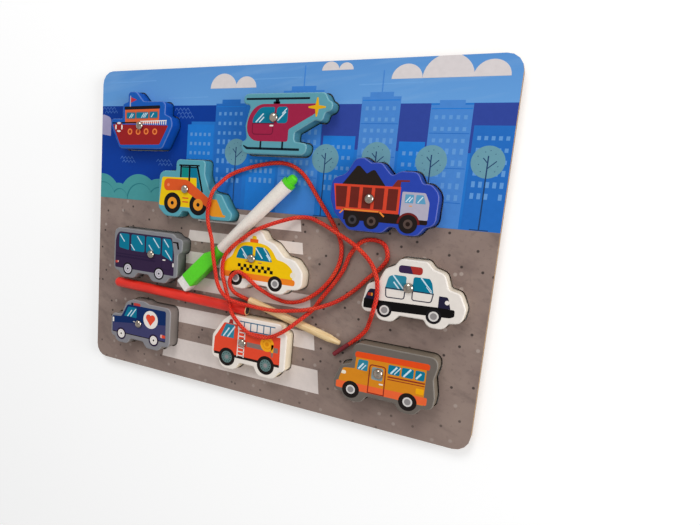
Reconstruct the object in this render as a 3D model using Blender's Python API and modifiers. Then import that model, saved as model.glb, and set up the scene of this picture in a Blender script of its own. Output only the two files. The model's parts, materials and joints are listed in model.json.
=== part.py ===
"""A magnetic fishing puzzle, modelled piece by piece.

Ten wooden vehicles with steel pins sit in the cut-outs of a two-layer board.
A magnet rod, a dry-wipe marker and a wooden needle on a long red cord lie on
top. Run it with: blender --background --python part.py

The board lies flat. +X runs along its long side, +Z is up, and the origin is
under its centre. Sizes are in metres. The plan of the pieces and the route of
the cord are drawn on a grid of PLAN_STEP, measured from the board's centre.
"""

import math
from dataclasses import dataclass

import bmesh
import bpy
import numpy as np
from mathutils import Matrix, Vector

# Grid and gaps
PLAN_STEP = 0.001
TOUCH_GAP = 0.0003

# Board: a whole base panel under a frame panel with the cut-outs
BASE_THICKNESS = 0.0025
FRAME_THICKNESS = 0.0037
END_BORDER = 0.01025
SIDE_BORDER = 0.016
BOARD_CORNER = 0.0095
CUT_CLEARANCE = 0.0009

# Vehicle pieces and their pins
PIECE_RISE = 0.0095
EDGE_ROUNDING = 0.0009
PIN_HEAD_RADIUS = 0.003
PIN_HEAD_HEIGHT = 0.0022
PIN_SHANK_RADIUS = 0.0011
PIN_SHANK_LENGTH = 0.006

# Marker, from the eraser to the end plug
ERASER_HALF_WIDTH = 0.0045
ERASER_CORNER = 0.002
ERASER_LENGTH = 0.0063
ERASER_SPIGOT_RADIUS = 0.0025
ERASER_SPIGOT_LENGTH = 0.002
CAP_HALF_WIDTH = 0.0047
CAP_CORNER = 0.0025
CAP_BLOCK_LENGTH = 0.0254
CAP_SHOULDER_LENGTH = 0.0035
CAP_NECK_RADIUS = 0.0041
CAP_NECK_LENGTH = 0.007
CAP_EDGE = 0.0004
BARREL_FRONT_RADIUS = 0.0039
BARREL_REAR_RADIUS = 0.0048
BARREL_LENGTH = 0.0662
BARREL_BORE_RADIUS = 0.003
NOSE_LENGTH = 0.013
NOSE_TAPER_LENGTH = 0.004
NOSE_TIP_RADIUS = 0.002
NOSE_SEAT_LENGTH = 0.006
NIB_RADIUS = 0.0011
NIB_POINT_RADIUS = 0.0006
NIB_POINT_LENGTH = 0.0015
NIB_REACH = 0.004
PLUG_FLANGE_LENGTH = 0.0022
PLUG_STEP_RADIUS = 0.00335
PLUG_STEP_LENGTH = 0.003
PLUG_END_RADIUS = 0.003
PLUG_END_LENGTH = 0.002
PLUG_SPIGOT_LENGTH = 0.006

# Magnet rod
ROD_LENGTH = 0.120
ROD_RADIUS = 0.00375
ROD_CHAMFER = 0.0003
MAGNET_RADIUS = 0.0026
MAGNET_THICKNESS = 0.003

# Needle
NEEDLE_LENGTH = 0.0705
NEEDLE_RADIUS = 0.0027
NEEDLE_TAPER_LENGTH = 0.008
NEEDLE_TIP_RADIUS = 0.00145
NEEDLE_CHAMFER = 0.0005
NEEDLE_BORE_DEPTH = 0.008

# Cord and its stiff tip
CORD_RADIUS = 0.00135
CORD_TIP_RADIUS = 0.0014
CORD_TIP_LENGTH = 0.013
CORD_SECTIONS = 80
CORD_BEND_LENGTH = 0.025

# Facets of turned pieces and of the corners of an outline
TURNED_STEPS = 20
PIN_STEPS = 12
DOME_STEPS = 4
CORNER_STEP = math.radians(24)
SMOOTH_ANGLE = math.radians(35)

# Levels that the sizes above give
BOARD_TOP = BASE_THICKNESS + TOUCH_GAP + FRAME_THICKNESS
PIECE_BOTTOM = BASE_THICKNESS + TOUCH_GAP
PIECE_TOP = BOARD_TOP + PIECE_RISE

# Where the loose pieces lie: plan point and heading in degrees
MARKER_PLACE = (-59.0, -40.9, 45.0)
ROD_PLACE = (-5.2, -50.8, 178.2)
NEEDLE_PLACE = (-5.0, -43.8, -14.3)
CORD_TIP_PLACE = (68.8, -60.8, -137.5)


@dataclass(frozen=True)
class Vehicle:
    """One puzzle piece.

    pin is the plan point of its pin. corners are the outline's corners from
    the pin, anticlockwise: along, across and corner radius in plan steps.
    """

    name: str
    pin: tuple
    colour: tuple
    corners: tuple


VEHICLES = (
    Vehicle("boat", (-101.9, 71.6), (0.03, 0.09, 0.60), (
        (-19, -16.5, 3.5), (20.5, -16, 4), (29, 0.5, 4), (27.5, 6, 3), (22, 8, 1.5), (22.5, 17, 3.5),
        (2.5, 17, 3), (-4.5, 24, 4), (-12, 24, 2.5), (-12, 17, 1), (-17, 15.5, 2.5), (-17, 5, 1),
        (-27, 5, 2.5), (-28.5, 1.5, 2.5))),
    Vehicle("helicopter", (7.1, 77.6), (0.02, 0.33, 0.50), (
        (-22, -23, 4.5), (24, -23, 4.5), (24, -15.5, 2.5), (15, -14.5, 2), (15, -9, 2), (28, -1.5, 2.5),
        (33, -2.5, 2.5), (34.5, 3, 2), (39, 4.5, 3), (39, 9, 2.5), (36, 10.5, 2), (33.5, 15, 3),
        (-23, 15, 3.5), (-23, 8.5, 2.5), (-17.5, 8, 2), (-21, -5.5, 9), (-19, -14, 2.5),
        (-23.5, -15.5, 2.5))),
    Vehicle("wheel_loader", (-58.9, 28.6), (0.02, 0.35, 0.45), (
        (-17, -20, 6), (-5, -20, 4.5), (-2.5, -15.5, 2), (3, -15.5, 2), (6.5, -20, 4), (38, -19.5, 3.5),
        (39.5, -14.5, 3), (36, -11, 3), (30, -2, 2.5), (20.5, -0.5, 2.5), (15.5, 10.5, 6),
        (15.5, 20.5, 2.5), (-9, 20.5, 3), (-9, 12.5, 1), (-23.5, 12, 5), (-23.5, -14.5, 4))),
    Vehicle("dump_truck", (74.6, 31.1), (0.04, 0.10, 0.62), (
        (-11.5, -19.5, 4), (9.5, -19.5, 5), (13, -15.5, 2.5), (17, -15.5, 2.5),
        (20.5, -19.5, 5), (30, -19.5, 5), (33.5, -14.5, 2.5), (39.5, -12.5, 5), (40, 5.5, 8),
        (34.5, 10.5, 4), (30, 10.5, 2), (26.5, 17, 4), (17, 17, 4), (12, 14, 2.5), (5, 21.5, 4),
        (-1, 21, 2), (-6, 24, 3), (-11, 23, 4), (-16, 14, 6), (-24.5, 11, 4.5), (-25, -1, 8),
        (-21.5, -9.5, 6))),
    Vehicle("coach", (-86.9, -20.9), (0.42, 0.42, 0.46), (
        (-36.5, -15.5, 4), (-31.5, -16.5, 1.5), (-28.5, -20.5, 4.5), (-17, -20.5, 4.5), (-13, -16, 2),
        (-2.5, -16, 2), (1, -20.5, 4.5), (13.5, -20.5, 4.5), (17, -16, 2), (24, -15, 3),
        (24, 2.5, 2), (27.5, 4.5, 3), (28, 13, 2.5), (22, 14.5, 2), (19, 17, 2.5), (-36.5, 17, 5))),
    Vehicle("taxi", (-1.9, -13.9), (0.86, 0.86, 0.84), (
        (-25, -17.5, 4), (-18.5, -18, 2), (-15.5, -21.5, 5), (-4, -21.5, 5), (-1, -17.5, 2),
        (12.5, -17.5, 2), (15, -21.5, 5), (24, -21.5, 5), (28, -17.5, 2), (37.5, -16.5, 5),
        (38, -5, 7), (31.5, 2.5, 6), (24, 3.5, 3), (16, 11.5, 8), (9.5, 13.5, 2.5), (6, 19, 3.5),
        (-2, 19, 3.5), (-5.5, 12.5, 2.5), (-13, 7.5, 7), (-18, 1.5, 4), (-25, -3, 5))),
    Vehicle("police_car", (103.6, -18.4), (0.88, 0.88, 0.88), (
        (-28, -18, 4), (-18.5, -18, 2), (-16, -22, 5), (-7.5, -22, 5), (-4, -17.5, 2),
        (10.5, -17.5, 2), (13, -21.5, 5), (22, -21.5, 5), (24.5, -17.5, 2), (31.5, -16.5, 4.5),
        (33, -8, 5), (29, 0.5, 4.5), (22.5, 2, 2), (19.5, 10.5, 5), (12.5, 12.5, 2.5),
        (9, 16.5, 3.5), (-6.5, 16.5, 3.5), (-9.5, 12, 2.5), (-15, 9.5, 5), (-18.5, 1, 2.5),
        (-25, -0.5, 4))),
    Vehicle("ambulance", (-96.4, -75.9), (0.45, 0.45, 0.49), (
        (-28, -13.5, 3), (-24, -14, 1.5), (-22, -18, 4.5), (-11.5, -18, 4.5), (-8.5, -13.5, 2),
        (4, -13.5, 2), (7.5, -18, 4.5), (19, -18, 4.5), (22, -14, 2), (29.5, -13.5, 4),
        (29.5, 16.5, 4), (9, 16.5, 3), (4.5, 18, 3), (-7, 18, 3), (-13, 15.5, 4), (-18, 5, 3),
        (-28, 4.5, 4))),
    Vehicle("fire_engine", (-4.4, -73.0), (0.87, 0.86, 0.85), (
        (-25, -14.5, 4), (-19, -15, 1.5), (-17, -21, 5.5), (-5.5, -21, 5.5), (-2, -15, 2),
        (9.5, -15, 2), (12.5, -21, 5.5), (24.5, -21, 5.5), (29, -15, 2), (33, -14, 3.5),
        (33, 12, 3), (29.5, 13, 1.5), (28.5, 18, 3.5), (-11.5, 18, 4), (-17, 13.5, 3),
        (-25, 2, 4.5))),
    Vehicle("school_bus", (91.6, -73.4), (0.46, 0.46, 0.50), (
        (-28, -16, 4), (-22, -17, 2), (-19.5, -21.5, 5.5), (-9.5, -21.5, 5.5), (-6, -16.5, 2),
        (11.5, -16.5, 2), (14.5, -21, 5.5), (24, -21, 5.5), (27.5, -16, 2), (34, -15.5, 4),
        (34.5, -7.5, 4), (32.5, 3, 4), (34, 10, 3.5), (34, 16.5, 4.5), (-17.5, 16.5, 4.5),
        (-17.5, 3, 2), (-24.5, 0.5, 3.5), (-28, -9.5, 4))),
)

# The cord's centre line from inside the needle's bore to its tip: plan point
# and height above the board's top, in plan steps
CORD_ROUTE = (
    # Out of the needle, over the taxi's wheel and back down to the board
    (2.4, -45.7, 3.0), (-9.0, -42.8, 3.0), (-12.5, -41.0, 5.2), (-14.2, -38.2, 9.6),
    (-16.2, -34.0, 11.4), (-16.6, -29.2, 11.2), (-10.8, -23.8, 11.2), (0.9, -29.7, 11.3),
    (4.6, -32.2, 11.2), (8.4, -35.7, 6.6), (13.5, -39.3, 2.2), (22.9, -40.9, 1.65),
    (32.2, -39.0, 1.65),
    # The wide loop past the helicopter
    (40.6, -34.0, 1.65), (48.2, -26.8, 1.65), (54.2, -17.8, 1.65), (57.5, -8.0, 1.65),
    (57.1, 1.6, 1.65), (51.9, 11.9, 1.65), (39.5, 28.4, 1.65), (27.0, 43.7, 1.65),
    (18.7, 48.6, 1.65), (9.4, 50.0, 1.65), (-10.2, 46.6, 1.65), (-26.9, 40.3, 2.6),
    # Over the wheel loader's bucket and the marker
    (-31.8, 34.4, 7.0), (-34.6, 28.7, 11.2), (-37.9, 15.2, 11.2), (-37.0, 7.2, 11.4),
    (-33.1, -4.6, 11.4), (-31.6, -14.0, 11.4), (-29.5, -22.2, 11.6), (-25.4, -33.5, 13.2),
    (-20.9, -39.1, 14.2), (-15.9, -43.1, 13.3), (-11.0, -44.9, 10.8), (-6.0, -46.0, 9.0),
    # Along the needle and out to the small loop
    (0.0, -46.7, 7.6), (14.0, -47.0, 7.3), (24.2, -46.0, 6.4), (41.5, -42.1, 5.5),
    (57.8, -34.9, 3.0), (69.5, -25.2, 1.65), (76.3, -17.5, 1.65), (83.3, -10.4, 1.65),
    (87.1, -3.6, 1.65), (84.5, 4.3, 1.65), (77.5, 6.7, 1.65), (70.3, 4.7, 1.65),
    (63.7, -4.0, 1.65), (60.0, -14.4, 1.65), (54.2, -24.5, 1.65), (46.2, -36.1, 1.65),
    (43.4, -40.9, 1.65), (40.7, -44.4, 2.2),
    # Over the needle, the fire engine, the magnet rod and the taxi
    (37.1, -48.6, 6.0), (33.7, -52.1, 8.2), (30.7, -55.2, 10.2), (26.8, -58.5, 11.4),
    (20.0, -63.0, 11.2), (11.0, -65.9, 11.2), (0.3, -64.5, 11.2), (-10.1, -57.0, 11.4),
    (-15.1, -51.4, 10.6), (-17.7, -45.3, 9.2), (-20.1, -35.5, 11.2), (-23.3, -25.4, 11.2),
    (-22.2, -14.8, 11.2), (-17.3, -8.2, 11.3), (-9.3, -1.4, 11.3), (-1.1, 4.5, 11.4),
    (7.4, 8.9, 9.8), (16.3, 12.7, 6.4), (25.8, 15.8, 2.9), (34.1, 16.3, 2.0),
    (43.3, 13.8, 4.0),
    # Over both loops and the police car, down to the board
    (55.6, 8.5, 5.7), (67.5, 2.2, 5.5), (77.5, -5.7, 6.2), (82.4, -11.6, 8.8),
    (85.2, -17.4, 11.4), (85.8, -26.4, 11.2), (84.2, -36.9, 11.3), (81.4, -43.0, 4.6),
    (79.0, -49.3, 1.7), (75.1, -54.7, 1.7), (71.3, -58.6, 1.7), (68.9, -61.0, 1.7),
)


def clear_scene():
    """Remove every object of the scene that the script starts in."""
    for thing in list(bpy.data.objects):
        bpy.data.objects.remove(thing, do_unlink=True)


def new_collection(name):
    """Return a new collection linked to the scene."""
    collection = bpy.data.collections.new(name)
    bpy.context.scene.collection.children.link(collection)
    return collection


def finish(name, colour, roughness, metallic=0.0):
    """Return a material with one Principled BSDF."""
    material = bpy.data.materials.new(name)
    material.use_nodes = True
    shader = material.node_tree.nodes["Principled BSDF"]
    shader.inputs["Base Color"].default_value = (*colour, 1.0)
    shader.inputs["Roughness"].default_value = roughness
    shader.inputs["Metallic"].default_value = metallic
    return material


def link(name, data, collection, material=None):
    """Make an object of some data, in a collection, with one material."""
    thing = bpy.data.objects.new(name, data)
    collection.objects.link(thing)
    if material:
        data.materials.append(material)
    return thing


def shade(mesh):
    """Shade round faces smooth and keep the edges between them sharp."""
    mesh.shade_smooth()
    mesh.set_sharp_from_angle(angle=SMOOTH_ANGLE)


def plan(point, height=0.0):
    """Return the place of a plan point at a height in metres."""
    return Vector((point[0] * PLAN_STEP, point[1] * PLAN_STEP, height))


def rounded_outline(corners, grow=0.0):
    """Return the points of an anticlockwise outline with round corners.

    The outline is moved outward by grow. An outer corner's radius grows with
    it, and an inner corner's shrinks.
    """
    points = []
    for index, (x, y, radius) in enumerate(corners):
        here = Vector((x, y))
        before = (Vector(corners[index - 1][:2]) - here).normalized()
        after = (Vector(corners[(index + 1) % len(corners)][:2]) - here).normalized()
        half = before.angle(after) / 2
        inner = (before + after).normalized()
        outer_corner = before.x * after.y - before.y * after.x < 0
        side = 1 if outer_corner else -1
        centre = here + inner * radius / math.sin(half)
        swing = math.pi - 2 * half
        count = max(2, math.ceil(swing / CORNER_STEP))
        middle = math.atan2(-inner.y, -inner.x)
        for step in range(count + 1):
            turn = middle + side * swing * (step / count - 0.5)
            reach = radius + side * grow
            points.append(centre + Vector((math.cos(turn), math.sin(turn))) * reach)
    return points


def vehicle_outline(vehicle, grow=0.0):
    """Return a vehicle's outline on the board in metres."""
    return [(Vector(vehicle.pin) + point) * PLAN_STEP
            for point in rounded_outline(vehicle.corners, grow / PLAN_STEP)]


def rectangle_outline(half_length, half_width, radius):
    """Return a rectangle with round corners, centred on the origin."""
    return rounded_outline(((-half_length, -half_width, radius), (half_length, -half_width, radius),
                            (half_length, half_width, radius), (-half_length, half_width, radius)))


def panel(name, loops, low, high, collection, material):
    """Make a flat panel from an outline and the loops cut out of it."""
    curve = bpy.data.curves.new(name, "CURVE")
    curve.dimensions = "2D"
    curve.fill_mode = "BOTH"
    curve.extrude = (high - low) / 2
    for loop in loops:
        spline = curve.splines.new("POLY")
        spline.points.add(len(loop) - 1)
        spline.use_cyclic_u = True
        for knot, point in zip(spline.points, loop):
            knot.co = (point.x, point.y, 0.0, 1.0)
    guide = link(name, curve, collection)
    guide.location.z = (low + high) / 2
    mesh = as_mesh(guide)
    return link_mesh(name, mesh, guide, collection, material)


def as_mesh(guide):
    """Return a curve's evaluated mesh with its caps welded on."""
    bpy.context.view_layer.update()
    evaluated = guide.evaluated_get(bpy.context.evaluated_depsgraph_get())
    mesh = bpy.data.meshes.new_from_object(evaluated)
    work = bmesh.new()
    work.from_mesh(mesh)
    bmesh.ops.remove_doubles(work, verts=work.verts, dist=1e-6)
    bmesh.ops.recalc_face_normals(work, faces=work.faces)
    work.to_mesh(mesh)
    work.free()
    return mesh


def link_mesh(name, mesh, guide, collection, material):
    """Put a mesh in its curve's place and remove the curve."""
    place = guide.matrix_world.copy()
    bpy.data.objects.remove(guide, do_unlink=True)
    mesh.materials.clear()
    thing = link(name, mesh, collection, material)
    thing.matrix_world = place
    return thing


def block(name, outline, low, high, rounding, collection, material):
    """Make a solid block from an outline, with its top edges rounded."""
    work = bmesh.new()
    floor = work.faces.new([work.verts.new((point.x, point.y, low)) for point in outline])
    raised = bmesh.ops.extrude_face_region(work, geom=[floor])["geom"]
    lifted = [item for item in raised if isinstance(item, bmesh.types.BMVert)]
    bmesh.ops.translate(work, verts=lifted, vec=(0.0, 0.0, high - low))
    rim = [item for item in raised if isinstance(item, bmesh.types.BMEdge)]
    bmesh.ops.bevel(work, geom=rim, offset=rounding, offset_type="OFFSET", segments=2,
                    profile=0.5, affect="EDGES", clamp_overlap=False)
    bmesh.ops.recalc_face_normals(work, faces=work.faces)
    mesh = bpy.data.meshes.new(name)
    work.to_mesh(mesh)
    work.free()
    shade(mesh)
    return link(name, mesh, collection, material)


def turned(name, profile, collection, material=None, steps=TURNED_STEPS, ring=False):
    """Turn a profile round the Z axis with a Screw modifier.

    The profile holds (radius, height) pairs, down the outer side from the top.
    A ring's profile closes on itself, as a tube's wall does.
    """
    mesh = bpy.data.meshes.new(name)
    edges = [(index, index + 1) for index in range(len(profile) - 1)]
    if ring:
        edges.append((len(profile) - 1, 0))
    mesh.from_pydata([(radius, 0.0, height) for radius, height in profile], edges, [])
    thing = link(name, mesh, collection, material)
    screw = thing.modifiers.new("Turn", "SCREW")
    screw.axis = "Z"
    screw.steps = steps
    screw.render_steps = steps
    screw.use_merge_vertices = True
    screw.merge_threshold = 0.00001
    screw.use_smooth_shade = True
    return thing


def arc(centre, radius, start, end, steps):
    """Return (radius, height) points on an arc, with its angles in degrees."""
    turns = [math.radians(start + (end - start) * step / steps) for step in range(steps + 1)]
    return [(centre[0] + radius * math.cos(turn), centre[1] + radius * math.sin(turn))
            for turn in turns]


def square_ring(height, half_width, radius):
    """Return one section of a loft: a square with round corners."""
    flat = half_width - radius
    ring = []
    for corner in range(4):
        for step in range(DOME_STEPS + 1):
            turn = math.radians(90 * (corner + step / DOME_STEPS))
            side = math.radians(90 * corner + 45)
            centre = Vector((math.cos(side), math.sin(side))) * flat * math.sqrt(2)
            ring.append((centre.x + radius * math.cos(turn), centre.y + radius * math.sin(turn), height))
    return ring


def lofted(name, sections, collection, material):
    """Skin a row of sections, each (height, half width, corner radius)."""
    work = bmesh.new()
    rings = [[work.verts.new(point) for point in square_ring(*section)] for section in sections]
    for lower, upper in zip(rings, rings[1:]):
        for index in range(len(lower)):
            after = (index + 1) % len(lower)
            work.faces.new((lower[index], lower[after], upper[after], upper[index]))
    work.faces.new(reversed(rings[0]))
    work.faces.new(rings[-1])
    bmesh.ops.remove_doubles(work, verts=work.verts, dist=1e-6)
    bmesh.ops.recalc_face_normals(work, faces=work.faces)
    mesh = bpy.data.meshes.new(name)
    work.to_mesh(mesh)
    work.free()
    shade(mesh)
    return link(name, mesh, collection, material)


def cut(thing, cutter):
    """Cut one object's shape out of another."""
    cutter.hide_render = True
    cutter.display_type = "WIRE"
    cutter.parent = thing.parent
    cutter.matrix_parent_inverse = Matrix()
    hole = thing.modifiers.new("Cut " + cutter.name, "BOOLEAN")
    hole.operation = "DIFFERENCE"
    hole.solver = "EXACT"
    hole.object = cutter


def lying_frame(name, place, height, collection):
    """Make an empty whose Z axis lies level, along a heading in degrees."""
    frame = bpy.data.objects.new(name, None)
    collection.objects.link(frame)
    frame.empty_display_size = 0.01
    frame.location = plan(place, height)
    frame.rotation_euler = (0.0, math.radians(90), math.radians(place[2]))
    return frame


def board_half_sizes():
    """Return half the board's length and width: the cut-outs and a border."""
    reach = [point for vehicle in VEHICLES for point in vehicle_outline(vehicle, CUT_CLEARANCE)]
    half_length = max(abs(point.x) for point in reach) + END_BORDER
    half_width = max(abs(point.y) for point in reach) + SIDE_BORDER
    return half_length, half_width


def build_board(collection):
    """Make the base panel and the frame panel with its ten cut-outs."""
    outline = rectangle_outline(*board_half_sizes(), BOARD_CORNER)
    cut_outs = [vehicle_outline(vehicle, CUT_CLEARANCE) for vehicle in VEHICLES]
    panel("base_panel", [outline], 0.0, BASE_THICKNESS, collection,
          finish("White faced board", (0.83, 0.83, 0.81), 0.35))
    panel("frame_panel", [outline, *cut_outs], PIECE_BOTTOM, BOARD_TOP, collection,
          finish("Printed plywood", (0.42, 0.37, 0.34), 0.5))


def pin_profile():
    """Return the profile of a steel pin, from its domed head to its point."""
    dome = (PIN_HEAD_RADIUS ** 2 + PIN_HEAD_HEIGHT ** 2) / (2 * PIN_HEAD_HEIGHT)
    spread = math.degrees(math.asin(min(1.0, PIN_HEAD_RADIUS / dome)))
    if PIN_HEAD_HEIGHT > PIN_HEAD_RADIUS:
        spread = 180 - spread
    head = arc((0.0, PIN_HEAD_HEIGHT - dome), dome, 90, 90 - spread, DOME_STEPS)
    head[0] = (0.0, PIN_HEAD_HEIGHT)
    point = PIN_SHANK_LENGTH - PIN_SHANK_RADIUS
    return head + [(PIN_SHANK_RADIUS, 0.0), (PIN_SHANK_RADIUS, -point), (0.0, -PIN_SHANK_LENGTH)]


def build_vehicle(vehicle, steel, collection, cutters):
    """Make one vehicle piece with its pin."""
    outline = [point - Vector(vehicle.pin) * PLAN_STEP for point in vehicle_outline(vehicle)]
    body = block(vehicle.name, outline, 0.0, PIECE_TOP - PIECE_BOTTOM, EDGE_ROUNDING, collection,
                 finish(vehicle.name + " paint", vehicle.colour, 0.4))
    body.location = plan(vehicle.pin, PIECE_BOTTOM)
    pin = turned(vehicle.name + "_pin", pin_profile(), collection, steel, PIN_STEPS)
    pin.location = plan(vehicle.pin, PIECE_TOP + TOUCH_GAP)
    bore = PIN_SHANK_RADIUS + TOUCH_GAP
    top = PIECE_TOP + PIN_HEAD_HEIGHT
    floor = PIECE_TOP - PIN_SHANK_LENGTH - TOUCH_GAP
    drill = turned("Drill " + vehicle.name, [(0.0, top), (bore, top), (bore, floor), (0.0, floor)],
                   cutters, steps=PIN_STEPS)
    drill.location = plan(vehicle.pin)
    cut(body, drill)


def marker_stations():
    """Return the marker's stations from its eraser end, by name."""
    cap_start = ERASER_LENGTH + TOUCH_GAP
    shoulder = cap_start + CAP_BLOCK_LENGTH
    neck = shoulder + CAP_SHOULDER_LENGTH
    rim = neck + CAP_NECK_LENGTH
    barrel = rim + TOUCH_GAP
    plug = barrel + BARREL_LENGTH + TOUCH_GAP
    return {"cap": cap_start, "shoulder": shoulder, "neck": neck, "rim": rim, "barrel": barrel,
            "plug": plug}


def build_marker_cap(frame, at, collection, cutters):
    """Make the cap with its felt eraser, and bore it for the marker's nose."""
    felt = lofted("marker_eraser", (
        (0.0, ERASER_HALF_WIDTH - CAP_EDGE, ERASER_CORNER - CAP_EDGE),
        (CAP_EDGE, ERASER_HALF_WIDTH, ERASER_CORNER),
        (ERASER_LENGTH, ERASER_HALF_WIDTH, ERASER_CORNER),
        (ERASER_LENGTH, ERASER_SPIGOT_RADIUS, ERASER_SPIGOT_RADIUS),
        (ERASER_LENGTH + ERASER_SPIGOT_LENGTH, ERASER_SPIGOT_RADIUS, ERASER_SPIGOT_RADIUS),
    ), collection, finish("White felt", (0.86, 0.86, 0.84), 0.95))
    cap = lofted("marker_cap", (
        (at["cap"], CAP_HALF_WIDTH - CAP_EDGE, CAP_CORNER - CAP_EDGE),
        (at["cap"] + CAP_EDGE, CAP_HALF_WIDTH, CAP_CORNER),
        (at["shoulder"], CAP_HALF_WIDTH, CAP_CORNER),
        (at["neck"], CAP_NECK_RADIUS, CAP_NECK_RADIUS),
        (at["rim"], CAP_NECK_RADIUS, CAP_NECK_RADIUS),
    ), collection, finish("Green plastic", (0.05, 0.62, 0.05), 0.3))
    felt.parent = frame
    cap.parent = frame
    nose_floor = at["barrel"] - NOSE_LENGTH - TOUCH_GAP
    nib_floor = nose_floor - NIB_REACH
    nose_bore = BARREL_BORE_RADIUS
    nib_bore = NOSE_TIP_RADIUS
    mouth = at["barrel"]
    cut(cap, turned("Nose bore", [(0.0, mouth), (nose_bore, mouth), (nose_bore, nose_floor),
                                  (nib_bore, nose_floor), (nib_bore, nib_floor), (0.0, nib_floor)],
                    cutters))
    socket = ERASER_SPIGOT_RADIUS + TOUCH_GAP
    socket_floor = ERASER_LENGTH + ERASER_SPIGOT_LENGTH + TOUCH_GAP
    cut(cap, turned("Felt socket", [(0.0, socket_floor), (socket, socket_floor),
                                    (socket, ERASER_LENGTH), (0.0, ERASER_LENGTH)], cutters))


def build_marker_body(frame, at, collection):
    """Make the barrel with its nose, nib, ink reservoir and end plug."""
    front = at["barrel"]
    rear = front + BARREL_LENGTH
    fit = BARREL_BORE_RADIUS - TOUCH_GAP
    nose_end = front + NOSE_SEAT_LENGTH
    nose_tip = front - NOSE_LENGTH
    nib_bore = NIB_RADIUS + TOUCH_GAP
    nib_tip = nose_tip - NIB_REACH + TOUCH_GAP
    nib_end = nose_end + NIB_RADIUS
    ink_start = nib_end + TOUCH_GAP
    ink_end = rear - PLUG_SPIGOT_LENGTH - TOUCH_GAP
    flange = at["plug"] + PLUG_FLANGE_LENGTH
    step = flange + PLUG_STEP_LENGTH
    end = step + PLUG_END_LENGTH
    white = finish("White plastic", (0.84, 0.84, 0.84), 0.3)
    pieces = (
        turned("marker_barrel", [(BARREL_REAR_RADIUS, rear), (BARREL_FRONT_RADIUS, front),
                                 (BARREL_BORE_RADIUS, front), (BARREL_BORE_RADIUS, rear)],
               collection, white, ring=True),
        turned("marker_nose", [(fit, nose_end), (fit, nose_tip + NOSE_TAPER_LENGTH),
                               (NOSE_TIP_RADIUS, nose_tip), (nib_bore, nose_tip),
                               (nib_bore, nose_end)],
               collection, finish("Nose plastic", (0.80, 0.80, 0.80), 0.35), ring=True),
        turned("marker_nib", [(0.0, nib_end), (NIB_RADIUS, nib_end),
                              (NIB_RADIUS, nib_tip + NIB_POINT_LENGTH), (NIB_POINT_RADIUS, nib_tip),
                              (0.0, nib_tip)],
               collection, finish("Green felt nib", (0.02, 0.25, 0.04), 0.9), PIN_STEPS),
        turned("ink_reservoir", [(0.0, ink_end), (fit, ink_end), (fit, ink_start),
                                 (0.0, ink_start)],
               collection, finish("Ink fibre", (0.04, 0.35, 0.06), 0.9), PIN_STEPS),
        turned("marker_end_plug", [(0.0, end), (PLUG_END_RADIUS - PLUG_END_LENGTH / 2, end),
                                   (PLUG_END_RADIUS, end - PLUG_END_LENGTH / 2),
                                   (PLUG_END_RADIUS, step), (PLUG_STEP_RADIUS, step),
                                   (PLUG_STEP_RADIUS, flange), (BARREL_REAR_RADIUS, flange),
                                   (BARREL_REAR_RADIUS, at["plug"]), (fit, at["plug"]),
                                   (fit, rear - PLUG_SPIGOT_LENGTH), (0.0, rear - PLUG_SPIGOT_LENGTH)],
               collection, finish("Green plug plastic", (0.05, 0.62, 0.05), 0.3)),
    )
    for piece in pieces:
        piece.parent = frame


def build_marker(collection, cutters):
    """Make the whole marker, lying on the board at 45 degrees."""
    radius = max(CAP_HALF_WIDTH, BARREL_REAR_RADIUS)
    frame = lying_frame("Marker axis", MARKER_PLACE, BOARD_TOP + TOUCH_GAP + radius, collection)
    at = marker_stations()
    build_marker_cap(frame, at, collection, cutters)
    build_marker_body(frame, at, collection)


def build_magnet_rod(collection):
    """Make the rod, round at one end, with a magnet set into the other."""
    frame = lying_frame("Rod axis", ROD_PLACE, BOARD_TOP + TOUCH_GAP + ROD_RADIUS, collection)
    pocket = MAGNET_RADIUS + TOUCH_GAP
    depth = MAGNET_THICKNESS + TOUCH_GAP
    dome = arc((0.0, ROD_LENGTH - ROD_RADIUS), ROD_RADIUS, 90, 0, DOME_STEPS)
    dome[0] = (0.0, ROD_LENGTH)
    rod = turned("magnet_rod", dome + [(ROD_RADIUS, ROD_CHAMFER), (ROD_RADIUS - ROD_CHAMFER, 0.0),
                                       (pocket, 0.0), (pocket, depth), (0.0, depth)],
                 collection, finish("Red lacquer", (0.75, 0.02, 0.02), 0.3))
    magnet = turned("rod_magnet", [(0.0, MAGNET_THICKNESS), (MAGNET_RADIUS, MAGNET_THICKNESS),
                                   (MAGNET_RADIUS, 0.0), (0.0, 0.0)],
                    collection, finish("Ferrite", (0.05, 0.045, 0.045), 0.5, 0.3))
    rod.parent = frame
    magnet.parent = frame


def build_needle(collection):
    """Make the wooden needle with the bore that holds the cord's end."""
    frame = lying_frame("Needle axis", NEEDLE_PLACE, BOARD_TOP + TOUCH_GAP + NEEDLE_RADIUS, collection)
    bore = CORD_RADIUS + TOUCH_GAP
    tip = NEEDLE_LENGTH - NEEDLE_CHAMFER
    needle = turned("needle", [(0.0, NEEDLE_LENGTH), (NEEDLE_TIP_RADIUS - NEEDLE_CHAMFER, NEEDLE_LENGTH),
                               (NEEDLE_TIP_RADIUS, tip), (NEEDLE_RADIUS, NEEDLE_LENGTH - NEEDLE_TAPER_LENGTH),
                               (NEEDLE_RADIUS, NEEDLE_CHAMFER), (NEEDLE_RADIUS - NEEDLE_CHAMFER, 0.0),
                               (bore, 0.0), (bore, NEEDLE_BORE_DEPTH), (0.0, NEEDLE_BORE_DEPTH)],
                    collection, finish("Bare birch", (0.72, 0.52, 0.28), 0.6))
    needle.parent = frame


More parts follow.
